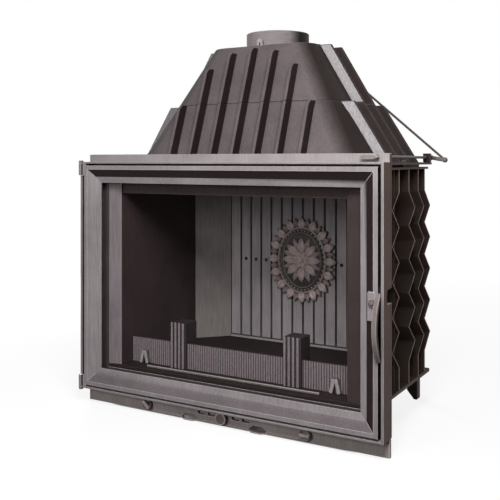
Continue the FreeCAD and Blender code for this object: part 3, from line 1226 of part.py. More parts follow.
def damper():
    """Damper control: lever, shaft, lug, crank, link, and the flap with its spindle and lever."""
    shaft = ("shaft_x", "shaft_z")
    flap = ("flap_x", "flap_z")
    crank_pin, lever_pin = link_ends()
    lever_y = ("-lever_front", "-lever_front + lever_t")
    bulb_x = "shaft_x - lever_length * 0.75"
    end_x = "shaft_x - lever_length"
    grip = prism("lever_grip", "XZ_Plane", *lever_y, outline([
        ("shaft_x + lever_tip", "shaft_z"), ("shaft_x", "shaft_z + lever_neck"),
        (bulb_x, "shaft_z + lever_bulb"), (end_x, "shaft_z + lever_bulb / 2"),
        (end_x, "shaft_z - lever_bulb / 2"), (bulb_x, "shaft_z - lever_bulb"),
        ("shaft_x", "shaft_z - lever_neck")]))
    hub = round_bar("lever_hub", "y", "lever_hub", shaft, "-lever_front + lever_t / 2", "-close_gap")
    shaft_end = "(-lever_front + lever_cover)"
    bore = round_bar("lever_bore", "y", "shaft_radius", shaft, shaft_end, "0")
    nodes = [cut("damper_lever", fuse("lever_solid", grip, hub), bore)]
    nodes.append(round_bar("damper_shaft", "y", "shaft_radius", shaft, shaft_end, CRANK_BACK))
    lug = block("lug_blank", about("shaft_x", "lug_width / 2"), ("lug_y", "lug_y + lug_depth"),
                (HOOD_BASE, "shaft_z + lug_over"))
    lug_bore = round_bar("lug_bore", "y", "shaft_radius + run_gap", shaft, "lug_y - lug_depth",
                         "lug_y + 2 * lug_depth")
    nodes.append(cut("damper_lug", lug, lug_bore))
    nodes.append(crank("damper_crank", shaft, "shaft_radius", crank_pin))
    nodes.append(damper_link(crank_pin, lever_pin))
    nodes.append(round_bar("flap_spindle", "y", "flap_axle", flap, "bearing_end + close_gap", CRANK_BACK))
    nodes.append(crank("flap_lever", flap, "flap_axle", lever_pin))
    sleeve = round_bar("flap_sleeve_tube", "y", "flap_sleeve", flap, "flap_front", "flap_back")
    leaf = turned_block("flap_leaf", flap, "-flap_angle", ("-flap_length", "0"), ("flap_front", "flap_back"),
                        ("-flap_t / 2", "flap_t / 2"))
    flap_bore = round_bar("flap_bore", "y", "flap_axle", flap, "flap_front", "flap_back")
    nodes.append(cut("damper_flap", fuse("flap_solid", sleeve, leaf), flap_bore))
    return nodes


def damper_link(crank_pin, lever_pin):
    """Link rod with an eye at each end; crank and flap lever stay parallel."""
    plane = (f"{CRANK_BACK} + close_gap", f"{CRANK_BACK} + close_gap + link_t")
    run = number(f"({lever_pin[0]}) - ({crank_pin[0]})")
    rise = number(f"({lever_pin[1]}) - ({crank_pin[1]})")
    length = "sqrt((flap_x - shaft_x) ^ 2 + (flap_z - shaft_z) ^ 2)"
    bar = turned_block("link_bar", crank_pin, math.degrees(math.atan2(-rise, run)), ("0", length), plane,
                       ("-link_width / 2", "link_width / 2"))
    eyes = [round_bar(f"link_eye{index}", "y", "link_eye", pin, *plane)
            for index, pin in enumerate((crank_pin, lever_pin))]
    bores = [round_bar("link_bore_low", "y", "link_pin + run_gap", crank_pin, *plane),
             round_bar("link_bore_high", "y", "link_pin + link_play", lever_pin, *plane)]
    return cut("damper_link", fuse("link_solid", bar, *eyes), *bores)


def check(nodes):
    """Stop if any object failed, a cut removed nothing, or a node's shape is empty or broken."""
    for item in doc.Objects:
        if "Invalid" in item.State or "Error" in item.State:
            raise RuntimeError(f"{item.Name} did not build: {item.State}")
        taking = item.TypeId in ("PartDesign::Pocket", "PartDesign::SubtractiveLoft")
        if taking and item.Shape.Volume >= item.BaseFeature.Shape.Volume - 1:
            raise RuntimeError(f"{item.Name} took nothing away")
    for node in nodes:
        shape = node.Shape
        if shape.isNull() or not shape.isValid() or not shape.Solids:
            raise RuntimeError(f"{node.Label} has no sound shape")


def main():
    """Build every piece, check the document and write one file for each node."""
    nodes = front_shell()
    nodes.append(body_plate("base_plate", BASE_LOW, "hearth_z", "fin_out", "flange_end",
                            about(0, "grate_half - grate_lap"),
                            ("grate_front + grate_lap", "grate_back - grate_lap")))
    nodes.append(body_plate("top_plate", "ceiling_z", HOOD_BASE, "wing_half", "wing_end",
                            about(0, "throat_half"), ("throat_front", "throat_back")))
    nodes += side_walls()
    nodes.append(tie_bolts())
    nodes += chamber()
    nodes += ornament()
    nodes += log_guard()
    nodes += ash_gear()
    nodes.append(rear_legs())
    nodes += [lower_hood(), upper_hood()]
    nodes += flue_collar()
    nodes.append(hinge_pins())
    nodes.append(door_frame())
    nodes += door_fittings()
    nodes += door_handle()
    for side, sign in SIDES:
        nodes += air_knob(side, sign)
    nodes += air_slide()
    nodes += damper()
    doc.recompute()
    check(nodes)
    os.makedirs("parts", exist_ok=True)
    for node in nodes:
        node.Shape.exportStep(f"parts/{node.Label}.step")
        box = node.Shape.BoundBox
        print(f"{node.Label}: {len(node.Shape.Solids)} solids, {node.Shape.Volume:.0f} mm3, "
              f"X {box.XMin:.1f} to {box.XMax:.1f}, Y {box.YMin:.1f} to {box.YMax:.1f}, "
              f"Z {box.ZMin:.1f} to {box.ZMax:.1f}")


main()
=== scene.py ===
"""Looks of a cast iron fireplace insert: its castings, door, glass, controls and studio."""

from __future__ import annotations

import json
import logging
import math
from abc import ABC, abstractmethod
from collections.abc import Callable, Iterator, Sequence
from contextlib import contextmanager
from dataclasses import dataclass, field
from enum import Enum
from typing import Any

import bpy
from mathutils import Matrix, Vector

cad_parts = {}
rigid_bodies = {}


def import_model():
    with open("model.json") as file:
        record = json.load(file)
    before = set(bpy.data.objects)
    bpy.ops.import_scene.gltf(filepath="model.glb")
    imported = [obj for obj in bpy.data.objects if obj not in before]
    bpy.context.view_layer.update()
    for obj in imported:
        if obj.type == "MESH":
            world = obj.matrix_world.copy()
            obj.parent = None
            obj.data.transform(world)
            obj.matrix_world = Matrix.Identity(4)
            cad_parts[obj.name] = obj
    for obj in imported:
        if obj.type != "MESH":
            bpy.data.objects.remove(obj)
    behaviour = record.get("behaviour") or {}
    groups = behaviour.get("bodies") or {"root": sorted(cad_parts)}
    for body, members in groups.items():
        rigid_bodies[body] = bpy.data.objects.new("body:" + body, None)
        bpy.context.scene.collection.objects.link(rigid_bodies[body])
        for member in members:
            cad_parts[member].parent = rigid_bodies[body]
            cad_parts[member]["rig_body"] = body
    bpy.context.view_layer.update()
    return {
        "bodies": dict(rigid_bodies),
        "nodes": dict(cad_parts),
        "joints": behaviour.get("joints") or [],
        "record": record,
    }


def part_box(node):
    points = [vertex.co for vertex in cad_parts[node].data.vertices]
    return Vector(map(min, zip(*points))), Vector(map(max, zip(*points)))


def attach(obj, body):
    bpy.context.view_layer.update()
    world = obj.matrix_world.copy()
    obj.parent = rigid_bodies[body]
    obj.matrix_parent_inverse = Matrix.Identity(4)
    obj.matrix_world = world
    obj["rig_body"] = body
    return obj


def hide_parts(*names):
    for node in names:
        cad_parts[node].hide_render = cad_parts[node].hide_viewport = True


LOG = logging.getLogger("fireplace_insert")
MM = 0.001
# Face attribute that marks where a finish paints its highlight, or its shade where that colour is dark.
PAINTED_SHADING_ATTRIBUTE = "worn_edge"
Colour = tuple[float, float, float]
Point = tuple[float, float, float]
Inputs = dict[str | int, Any]

# Degrees: edges sharper than the first are rounded, and edges flatter than the second are shaded smooth.
SHARP_EDGE = 28.0
SMOOTH_EDGE = 40.0
# Points nearer than the first are merged, and faces that turn by fewer degrees than the second are joined.
MERGE_GAP = 0.005 * MM
FLAT_TURN = 0.5
# A noise lies mostly between these two values.
NOISE_LOW = 0.3
NOISE_HIGH = 0.7
# Height over which one colour gives way to another.
COLOUR_STEP = 1 * MM
# The sRGB standard's curve: a straight start up to the knee, then a power.
SRGB_KNEE = 0.04045
SRGB_SLOPE = 12.92
SRGB_OFFSET = 0.055
SRGB_POWER = 2.4
# Ways that a face can look.
SIDEWAYS = (1, 0, 0)
FRONT = (0, -1, 0)
BACK = (0, 1, 0)
UP = (0, 0, 1)
DOWN = (0, 0, -1)
DOWN_LEFT = (-0.7, 0, -0.7)


class Select(Enum):
    """What edit mode selects: points or faces."""

    POINTS = (True, False, False)
    FACES = (False, False, True)


class Side(Enum):
    """Left or right of the insert, seen from the front."""

    LEFT = -1
    RIGHT = 1

    @property
    def word(self) -> str:
        """Return the side's name as the nodes write it."""
        return self.name.lower()


def linear(colour: Colour) -> tuple[float, float, float, float]:
    """Turn a colour as a screen shows it into the shader's linear values.

    Args:
        colour: Red, green and blue from 0 to 255.

    Returns:
        Linear red, green, blue and an alpha of 1.
    """
    values = []
    for part in (value / 255 for value in colour):
        curved = ((part + SRGB_OFFSET) / (1 + SRGB_OFFSET)) ** SRGB_POWER
        values.append(part / SRGB_SLOPE if part <= SRGB_KNEE else curved)
    return values[0], values[1], values[2], 1.0


def grey(value: float) -> tuple[float, float, float, float]:
    """Return a linear grey with an alpha of 1."""
    return value, value, value, 1.0


def shaded(colour: Colour, share: float) -> Colour:
    """Return a colour made lighter or darker by a share."""
    red, green, blue = (min(255.0, value * share) for value in colour)
    return red, green, blue


def pick(piece: bpy.types.Object) -> None:
    """Select one object alone and make it active."""
    bpy.ops.object.select_all(action="DESELECT")
    piece.select_set(True)
    bpy.context.view_layer.objects.active = piece


@contextmanager
def editing(select: Select) -> Iterator[None]:
    """Work on the active object in edit mode, then leave it.

    Args:
        select: What edit mode selects.
    """
    bpy.ops.object.mode_set(mode="EDIT")
    bpy.context.tool_settings.mesh_select_mode = select.value
    yield
    bpy.ops.object.mode_set(mode="OBJECT")


def choose_faces(piece: bpy.types.Object, wanted: Callable[[Vector, Vector], bool]) -> None:
    """Select the faces whose centre and normal fit a test.

    Args:
        piece: The object, in object mode.
        wanted: Test of a face's centre and normal.
    """
    pick(piece)
    with editing(Select.FACES):
        bpy.ops.mesh.select_all(action="DESELECT")
    for face in piece.data.polygons:
        face.select = wanted(face.center, face.normal)


def choose_points(piece: bpy.types.Object, wanted: Callable[[Vector], bool]) -> None:
    """Select the points whose place fits a test.

    Args:
        piece: The object, in object mode.
        wanted: Test of a point's place.
    """
    pick(piece)
    with editing(Select.POINTS):
        bpy.ops.mesh.select_all(action="DESELECT")
    for point in piece.data.vertices:
        point.select = wanted(point.co)


def apply_modifier(piece: bpy.types.Object, kind: str, **settings: Any) -> None:
    """Add one modifier to a piece and apply it.

    Args:
        piece: The object to change.
        kind: Blender's name of the modifier.
        **settings: The modifier's settings.
    """
    pick(piece)
    modifier = piece.modifiers.new(kind.lower(), kind)
    for name, value in settings.items():
        setattr(modifier, name, value)
    bpy.ops.object.modifier_apply(modifier=modifier.name)


def settle(piece: bpy.types.Object) -> None:
    """Put a piece's place, turn and scale into its mesh."""
    pick(piece)
    bpy.ops.object.transform_apply(location=True, rotation=True, scale=True)


def smooth(piece: bpy.types.Object, angle: float = SMOOTH_EDGE) -> None:
    """Shade a piece smooth below an angle, with flat faces kept flat.

    Args:
        piece: The object to shade.
        angle: Largest angle in degrees that is shaded smooth.
    """
    pick(piece)
    bpy.ops.object.shade_smooth_by_angle(angle=math.radians(angle))
    apply_modifier(piece, "WEIGHTED_NORMAL", keep_sharp=True)


def ease(piece: bpy.types.Object, radius: float, segments: int) -> None:
    """Round a piece's edges and mark the rounded faces, which take a painted highlight or painted shade.

    The rounding isn't clamped: one wider than half of the step beside an edge folds over.

    Args:
        piece: The object to change.
        radius: Width of the rounding in metres.
        segments: Faces across the rounding.
    """
    mesh = piece.data
    # Of two empty material slots, the modifier gives the second to the faces that it adds.
    mesh.materials.clear()
    mesh.materials.append(None)
    mesh.materials.append(None)
    apply_modifier(piece, "BEVEL", width=radius, segments=segments, limit_method="ANGLE",
                   angle_limit=math.radians(SHARP_EDGE), use_clamp_overlap=False, material=1)
    worn = mesh.attributes.new(PAINTED_SHADING_ATTRIBUTE, "FLOAT", "FACE")
    for face in mesh.polygons:
        worn.data[face.index].value = float(face.material_index)
        face.material_index = 0
    mesh.materials.clear()


def mark_worn(piece: bpy.types.Object, share: Callable[[Vector, Vector], float]) -> None:
    """Say how much painted highlight or painted shade each face of a piece takes.

    Args:
        piece: The object to mark.
        share: Gives a face's share of painted highlight or shade from its centre and normal, from 0 to 1.
    """
    mesh = piece.data
    worn = mesh.attributes.get(PAINTED_SHADING_ATTRIBUTE) or mesh.attributes.new(PAINTED_SHADING_ATTRIBUTE, "FLOAT", "FACE")
    for face in mesh.polygons:
        worn.data[face.index].value = share(face.center, face.normal)


def added(add: Callable[..., Any], **settings: Any) -> bpy.types.Object:
    """Add a primitive by one of Blender's operators and return it.

    Args:
        add: The operator.
        **settings: Its sizes and place.

    Returns:
        The new object, with its place in its mesh.
    """
    bpy.ops.object.select_all(action="DESELECT")
    add(**settings)
    piece = bpy.context.active_object
    settle(piece)
    return piece


def copied(pattern: bpy.types.Object, place: Point, turn: float, scale: Point) -> bpy.types.Object:
    """Copy a pattern piece with a mesh of its own.

    Args:
        pattern: The piece to copy, modelled about the origin.
        place: Where its origin goes.
        turn: Turn about Y in radians, from +X towards +Z.
        scale: Its scale along X, Y and Z.

    Returns:
        The copy, with its place in its mesh.
    """
    pick(pattern)
    bpy.ops.object.duplicate(linked=False)
    piece = bpy.context.active_object
    piece.scale = scale
    piece.rotation_euler = (0, -turn, 0)
    piece.location = place
    settle(piece)
    return piece


def joined(name: str, pieces: Sequence[bpy.types.Object]) -> bpy.types.Object:
    """Join pieces into one object.

    Args:
        name: Name of the result.
        pieces: The objects to join.

    Returns:
        The joined object.
    """
    bpy.ops.object.select_all(action="DESELECT")
    for piece in pieces:
        piece.select_set(True)
    bpy.context.view_layer.objects.active = pieces[0]
    bpy.ops.object.join()
    pieces[0].name = name
    return pieces[0]


@dataclass(frozen=True)
class FaceTone:
    """Painted shading: another tone on the faces that look one way, or also the opposite way.

    A face that looks straight that way counts as 1; start and full say where the tone begins and is whole.
    """

    colour: Colour
    way: Point
    start: float
    full: float
    both: bool = False


def flanks(colour: Colour, start: float = 0.45, full: float = 0.85) -> FaceTone:
    """Return painted shading, in the given colour, for faces that look left or right."""
    return FaceTone(colour, SIDEWAYS, start, full, both=True)


def lee(colour: Colour) -> FaceTone:
    """Return painted shade for slopes that look down or left."""
    return FaceTone(colour, DOWN_LEFT, start=0.23, full=0.29)


def add_node(tree: bpy.types.NodeTree, kind: str, inputs: Inputs, **settings: Any) -> bpy.types.NodeOutputs:
    """Add a shader node.

    Args:
        tree: The node tree.
        kind: Blender's name of the node, after ShaderNode.
        inputs: A socket to link or a plain value to set, by the input's name or number.
        **settings: The node's own settings.

    Returns:
        The node's outputs.
    """
    node = tree.nodes.new(f"ShaderNode{kind}")
    for name, value in settings.items():
        setattr(node, name, value)
    for key, value in inputs.items():
        if isinstance(value, bpy.types.NodeSocket):
            tree.links.new(value, node.inputs[key])
        else:
            node.inputs[key].default_value = value
    return node.outputs


class NodeBench:
    """Builds one node-based material, socket by socket."""

    def __init__(self, name: str) -> None:
        """Start a material with a Principled shader and its coordinates.

        Args:
            name: Name of the material.
        """
        self.material = bpy.data.materials.new(name)
        self.material.use_nodes = True
        self.tree = self.material.node_tree
        self.shader = self.tree.nodes["Principled BSDF"]
        self.coordinates = self.add("TexCoord", {})

    def add(self, kind: str, inputs: Inputs, **settings: Any) -> bpy.types.NodeOutputs:
        """Add a node to the material and return its outputs."""
        return add_node(self.tree, kind, inputs, **settings)

    def set(self, **values: Any) -> None:
        """Set plain values on the shader; a low line in a name stands for a space."""
        for name, value in values.items():
            self.shader.inputs[name.replace("_", " ")].default_value = value

    def link(self, source: bpy.types.NodeSocket, target: str) -> None:
        """Link a socket to one of the shader's inputs."""
        self.tree.links.new(source, self.shader.inputs[target])

    def noise(self, size: float, detail: float, stretch: Point = (1, 1, 1)) -> bpy.types.NodeSocket:
        """Add cloudy noise.

        Args:
            size: Size of its patches in metres.
            detail: Steps of finer detail.
            stretch: Scale of the pattern along X, Y and Z.

        Returns:
            The noise as a value from 0 to 1.
        """
        return self.texture("TexNoise", {"Scale": 1 / size, "Detail": detail}, {"Scale": stretch})

    def waves(self, size: float, distortion: float, turn: Point) -> bpy.types.NodeSocket:
        """Add parallel waves.

        Args:
            size: Distance between the waves in metres.
            distortion: How far the waves wander.
            turn: Turn of the pattern about X, Y and Z in radians.

        Returns:
            The waves as a value from 0 to 1.
        """
        inputs = {"Scale": 1 / (size * math.pi), "Distortion": distortion}
        return self.texture("TexWave", inputs, {"Rotation": turn})

    def texture(self, kind: str, inputs: Inputs, mapping: Inputs) -> bpy.types.NodeSocket:
        """Lay a texture on Object coordinates.

        Args:
            kind: Blender's name of the texture's node, after ShaderNode.
            inputs: The texture's inputs.
            mapping: How its pattern is scaled or turned.

        Returns:
            The texture's value.
        """
        place = self.add("Mapping", {"Vector": self.coordinates["Object"], **mapping})
        return self.add(kind, {"Vector": place["Vector"], **inputs})["Fac"]

    def spread(self, value: bpy.types.NodeSocket, low: float, high: float) -> bpy.types.NodeSocket:
        """Spread a noise's usual range over two values.

        Args:
            value: The noise.
            low: Result where the noise is low.
            high: Result where the noise is high.

        Returns:
            The spread value.
        """
        return self.between(value, NOISE_LOW, NOISE_HIGH, low, high)

    def tones(self, value: bpy.types.NodeSocket, dark: Colour, light: Colour) -> bpy.types.NodeSocket:
        """Turn a noise into tones between two colours.

        Args:
            value: The noise.
            dark: Colour where the noise is low.
            light: Colour where the noise is high.

        Returns:
            The colour.
        """
        ramp = self.tree.nodes.new("ShaderNodeValToRGB")
        ramp.color_ramp.elements[0].position = NOISE_LOW
        ramp.color_ramp.elements[0].color = linear(dark)
        ramp.color_ramp.elements[1].position = NOISE_HIGH
        ramp.color_ramp.elements[1].color = linear(light)
        self.tree.links.new(value, ramp.inputs["Fac"])
        return ramp.outputs["Color"]

    def facing(self, tone: FaceTone) -> bpy.types.NodeSocket:
        """Measure how far a face looks the way of a painted shading tone.

        Args:
            tone: The painted shading.

        Returns:
            A value from 0, none of the tone, to 1, full of it.
        """
        inputs = {0: self.coordinates["Normal"], 1: tone.way}
        along = self.add("VectorMath", inputs, operation="DOT_PRODUCT")["Value"]
        if tone.both:
            along = self.add("Math", {0: along}, operation="ABSOLUTE")[0]
        return self.between(along, tone.start, tone.full)

    def below(self, height: float) -> bpy.types.NodeSocket:
        """Tell what lies below a height of the piece, as 1, from what lies above, as 0."""
        place = self.add("SeparateXYZ", {"Vector": self.coordinates["Object"]})
        return self.between(place["Z"], height, height - COLOUR_STEP)

    def between(self, value: bpy.types.NodeSocket, start: float, full: float,
                low: float = 0.0, high: float = 1.0) -> bpy.types.NodeSocket:
        """Turn a value's range into another range, such as a share.

        Args:
            value: The value.
            start: Where the result is low.
            full: Where the result is high.
            low: Lowest result.
            high: Highest result.

        Returns:
            The result.
        """
        ends = {"From Min": start, "From Max": full, "To Min": low, "To Max": high}
        return self.add("MapRange", {"Value": value, **ends})["Result"]

    def average(self, first: bpy.types.NodeSocket, second: bpy.types.NodeSocket) -> bpy.types.NodeSocket:
        """Return the mean of two values, which are inputs 2 and 3 of a Mix node."""
        return self.add("Mix", {0: 1 / 2, 2: first, 3: second})[0]

    def worn(self) -> bpy.types.NodeSocket:
        """Read how much painted highlight or painted shade each face of the piece takes."""
        return self.add("Attribute", {}, attribute_name=PAINTED_SHADING_ATTRIBUTE)["Fac"]

    def mixed(self, base: bpy.types.NodeSocket, over: bpy.types.NodeSocket,
              share: bpy.types.NodeSocket) -> bpy.types.NodeSocket:
        """Lay one colour over another; they are inputs 6 and 7 of a Mix node.

        Args:
            base: The colour below.
            over: The colour on top.
            share: Where the top shows, from 0 to 1.

        Returns:
            The mixed colour.
        """
        return self.add("Mix", {0: share, 6: base, 7: over}, data_type="RGBA")[2]

    def bump(self, height: bpy.types.NodeSocket, depth: float) -> None:
        """Roughen the shader's normal by a height.

        Args:
            height: The height, from 0 to 1.
            depth: Depth of the relief in metres.
        """
        self.link(self.add("Bump", {"Height": height, "Distance": depth})["Normal"], "Normal")


class Finish(ABC):
    """A finish that can make its material."""

    def material(self, name: str) -> bpy.types.Material:
        """Make the material.

        Args:
            name: Name of the material.

        Returns:
            The material.
        """
        bench = NodeBench(name)
        self.paint(bench)
        return bench.material

    @abstractmethod
    def paint(self, bench: NodeBench) -> None:
        """Build the nodes of the finish on a bench."""


@dataclass(frozen=True)
class CastIron(Finish):
    """Painted cast iron: cloudy tone, painted shading by facing and on marked faces such as edges, and
    upright grain.
    """

    colour: Colour
    # Painted shading on faces by the way they look.
    tones: tuple[FaceTone, ...] = ()
    # Colour of the painted highlight on marked faces, or of painted shade where it is dark; by default the
    # colour made lighter by the gain.
    bare: Colour | None = None
    bare_shade: float = 1.25
    # Height below which the colour gives way to painted shade, such as deep in the gap behind the rim box.
    raw_below: float | None = None
    raw: Colour = (84, 75, 76)
    roughness: float = 0.5
    roughness_play: float = 0.06
    specular: float = 0.08
    cloud: float = 0.12
    cloud_size: float = 70 * MM
    cloud_detail: float = 5.0
    streak_size: float = 2.6 * MM
    streak_detail: float = 2.0
    streak_stretch: Point = (1, 1, 0.05)
    grain_size: float = 2.2 * MM
    grain_detail: float = 4.0
    grain_depth: float = 0.16 * MM
    grain_stretch: Point = (1, 1, 0.35)

    def paint(self, bench: NodeBench) -> None:
        """Build the nodes of the finish.

        Args:
            bench: The bench to build them on.
        """
        streaks = bench.noise(self.streak_size, self.streak_detail, self.streak_stretch)
        cloud = bench.average(bench.noise(self.cloud_size, self.cloud_detail), streaks)
        tone = self.cloudy(bench, cloud, self.colour)
        # Painted shade on the part of the piece below a height.
        if self.raw_below is not None:
            tone = bench.mixed(tone, self.cloudy(bench, cloud, self.raw), bench.below(self.raw_below))
        # Painted shading on faces by the way they look.
        for painted_facing_tone in self.tones:
            tone = bench.mixed(tone, self.cloudy(bench, cloud, painted_facing_tone.colour), bench.facing(painted_facing_tone))
        grain = bench.noise(self.grain_size, self.grain_detail, self.grain_stretch)
        # Painted highlight on the marked faces, or painted shade where that colour is dark.
        painted_shading_tone = self.cloudy(bench, grain, self.bare or shaded(self.colour, self.bare_shade))
        bench.link(bench.mixed(tone, painted_shading_tone, bench.worn()), "Base Color")
        play = self.roughness_play
        bench.link(bench.spread(grain, self.roughness - play, self.roughness + play), "Roughness")
        bench.bump(grain, self.grain_depth)
        bench.set(Specular_IOR_Level=self.specular)

    def cloudy(self, bench: NodeBench, cloud: bpy.types.NodeSocket, colour: Colour) -> bpy.types.NodeSocket:
        """Cloud a colour.

        Args:
            bench: The material being built.
            cloud: The noise that clouds it.
            colour: The colour's middle tone.

        Returns:
            The clouded colour.
        """
        return bench.tones(cloud, shaded(colour, 1 - self.cloud), shaded(colour, 1 + self.cloud))


@dataclass(frozen=True)
class DrawnSteel(Finish):
    """Bare or plated steel with fine drawing lines."""

    colour: Colour
    roughness: float = 0.35
    roughness_play: float = 0.08
    dark: float = 0.88
    light: float = 1.08
    line_size: float = 6 * MM
    line_detail: float = 3.0
    line_depth: float = 0.03 * MM
    line_stretch: Point = (1, 1, 12)

    def paint(self, bench: NodeBench) -> None:
        """Build the nodes of the finish.

        Args:
            bench: The bench to build them on.
        """
        lines = bench.noise(self.line_size, self.line_detail, self.line_stretch)
        dark = shaded(self.colour, self.dark)
        bench.link(bench.tones(lines, dark, shaded(self.colour, self.light)), "Base Color")
        play = self.roughness_play
        bench.link(bench.spread(lines, self.roughness - play, self.roughness + play), "Roughness")
        bench.bump(lines, self.line_depth)
        bench.set(Metallic=1.0)


@dataclass(frozen=True)
class FireGlass(Finish):
    """Clear fire-proof glass with a faint warm tint."""

    colour: Colour
    cover: float = 0.04
    haze_size: float = 120 * MM
    haze_detail: float = 4.0
    haze_shade: float = 0.9
    smoothest: float = 0.03
    roughest: float = 0.07
    specular: float = 0.06

    def paint(self, bench: NodeBench) -> None:
        """Build the nodes of the finish.

        Args:
            bench: The bench to build them on.
        """
        haze = bench.noise(self.haze_size, self.haze_detail)
        bench.link(bench.tones(haze, shaded(self.colour, self.haze_shade), self.colour), "Base Color")
        bench.link(bench.spread(haze, self.smoothest, self.roughest), "Roughness")
        bench.set(Alpha=self.cover, Specular_IOR_Level=self.specular)


@dataclass(frozen=True)
class FibreRope(Finish):
    """Braided glass fibre rope and tape."""

    colour: Colour
    dark: float = 0.65
    light: float = 1.15
    braid: float = 3 * MM
    braid_wander: float = 3.0
    braid_turn: Point = (0.6, 0.8, 0.5)
    braid_depth: float = 0.6 * MM
    roughness: float = 0.9
    specular: float = 0.1

    def paint(self, bench: NodeBench) -> None:
        """Build the nodes of the finish.

        Args:
            bench: The bench to build them on.
        """
        waves = bench.waves(self.braid, self.braid_wander, self.braid_turn)
        dark = shaded(self.colour, self.dark)
        bench.link(bench.tones(waves, dark, shaded(self.colour, self.light)), "Base Color")
        bench.bump(waves, self.braid_depth)
        bench.set(Roughness=self.roughness, Specular_IOR_Level=self.specular)


class Finishes(Enum):
    """The finish of each material slot."""

    # Painted shade on side faces, and on the plate below its top strip, deep in the gap behind the rim box.
    front_iron = CastIron((158, 150, 152), (flanks((88, 66, 60)),), raw_below=562 * MM)
    # Painted shade on slopes that look down or left and on side faces.
    rim_iron = CastIron((150, 142, 143), (lee((50, 40, 39)), flanks((90, 67, 60))))
    strip_iron = CastIron((174, 163, 161))
    # Painted shade on slopes that look up, on slopes that look down or left, and on side faces.
    door_iron = CastIron((154, 146, 148), (FaceTone((120, 111, 113), UP, 0.3, 0.45), lee((40, 31, 30)),
                                           flanks((44, 36, 36))))
    # Painted shading: dark faces to the front, lighter faces to the back and the sides.
    plate_iron = CastIron((52, 43, 43), (FaceTone((112, 104, 104), BACK, 0.5, 0.8), flanks((116, 98, 90))),
                          roughness=0.6)
    # Painted light on fin slopes that look down, painted shade on slopes that look up, and a painted
    # highlight on the outer edges.
    fin_iron = CastIron((60, 50, 45), (FaceTone((100, 83, 76), DOWN, 0.2, 0.5),
                                       FaceTone((46, 38, 35), UP, 0.2, 0.5)),
                        bare=(176, 152, 140), roughness=0.6)
    liner_iron = CastIron((74, 62, 62), roughness=0.65)
    # Painted shade along the panels' rounded edges.
    panel_iron = CastIron((158, 150, 148), bare=(44, 38, 38), roughness=0.6)
    reveal_iron = CastIron((144, 134, 137), roughness=0.55)
    # Painted shade on the rounded edges of the fireback's grooves.
    back_iron = CastIron((184, 175, 178), bare=(38, 33, 34))
    # Painted shade in the rosette's depths and a painted highlight on its heights.
    ornament_iron = CastIron((58, 50, 50), bare=(228, 208, 205), roughness=0.38, specular=0.3)
    # Painted highlight on the reeds of bar and posts.
    guard_iron = CastIron((66, 59, 60), bare=(148, 136, 140))
    # Painted highlight on the legs' front faces.
    foot_iron = CastIron((96, 89, 87), bare=(172, 166, 163), roughness=0.45)
    # Painted shade on faces that look straight forward and on side faces, and a painted highlight on the
    # first side ribs' fronts.
    hood_iron = CastIron((102, 93, 94), (FaceTone((62, 53, 52), FRONT, 0.955, 0.985),
                                         flanks((44, 36, 35), 0.22, 0.66)), bare=(170, 165, 167))
    # Painted shade on the collar's sides, and a painted highlight on its edges and the hook's front.
    collar_iron = CastIron((138, 130, 130), (flanks((30, 24, 22), 0.76, 0.95),), bare=(172, 164, 164),
                           roughness=0.45, grain_stretch=(0.2, 0.2, 2.0), streak_stretch=(0.1, 0.1, 1.2))
    sheet_steel = DrawnSteel((120, 118, 116), roughness=0.5)
    bolt_steel = DrawnSteel((105, 100, 98), roughness=0.45)
    # Painted highlight on the knobs' grip bars.
    knob_steel = CastIron((116, 106, 104), bare=(218, 204, 201), roughness=0.4, specular=0.2)
    # Painted shade on the lever's side faces, and a painted highlight on its rounded edges.
    lever_steel = CastIron((132, 125, 122), (flanks((70, 60, 56)),), bare=(162, 155, 152), roughness=0.4,
                           specular=0.2)
    rod_steel = CastIron((84, 75, 71), roughness=0.45, specular=0.2)
    # Painted shade on the bow's side faces.
    handle_steel = CastIron((128, 119, 117), (flanks((34, 26, 25), 0.35, 0.7),), roughness=0.42)
    pane_glass = FireGlass((40, 34, 32))
    seal_fibre = FibreRope((58, 54, 52))


class MaterialShelf:
    """Makes each slot's material once."""

    def __init__(self) -> None:
        """Start with an empty shelf."""
        self.made: dict[str, bpy.types.Material] = {}

    def take(self, slot: str) -> bpy.types.Material:
        """Return the material of a slot.

        Args:
            slot: Name of the material slot.

        Returns:
            The material, made when first asked for.
        """
        if slot not in self.made:
            finish: Finish = Finishes[slot].value
            self.made[slot] = finish.material(slot)
        return self.made[slot]


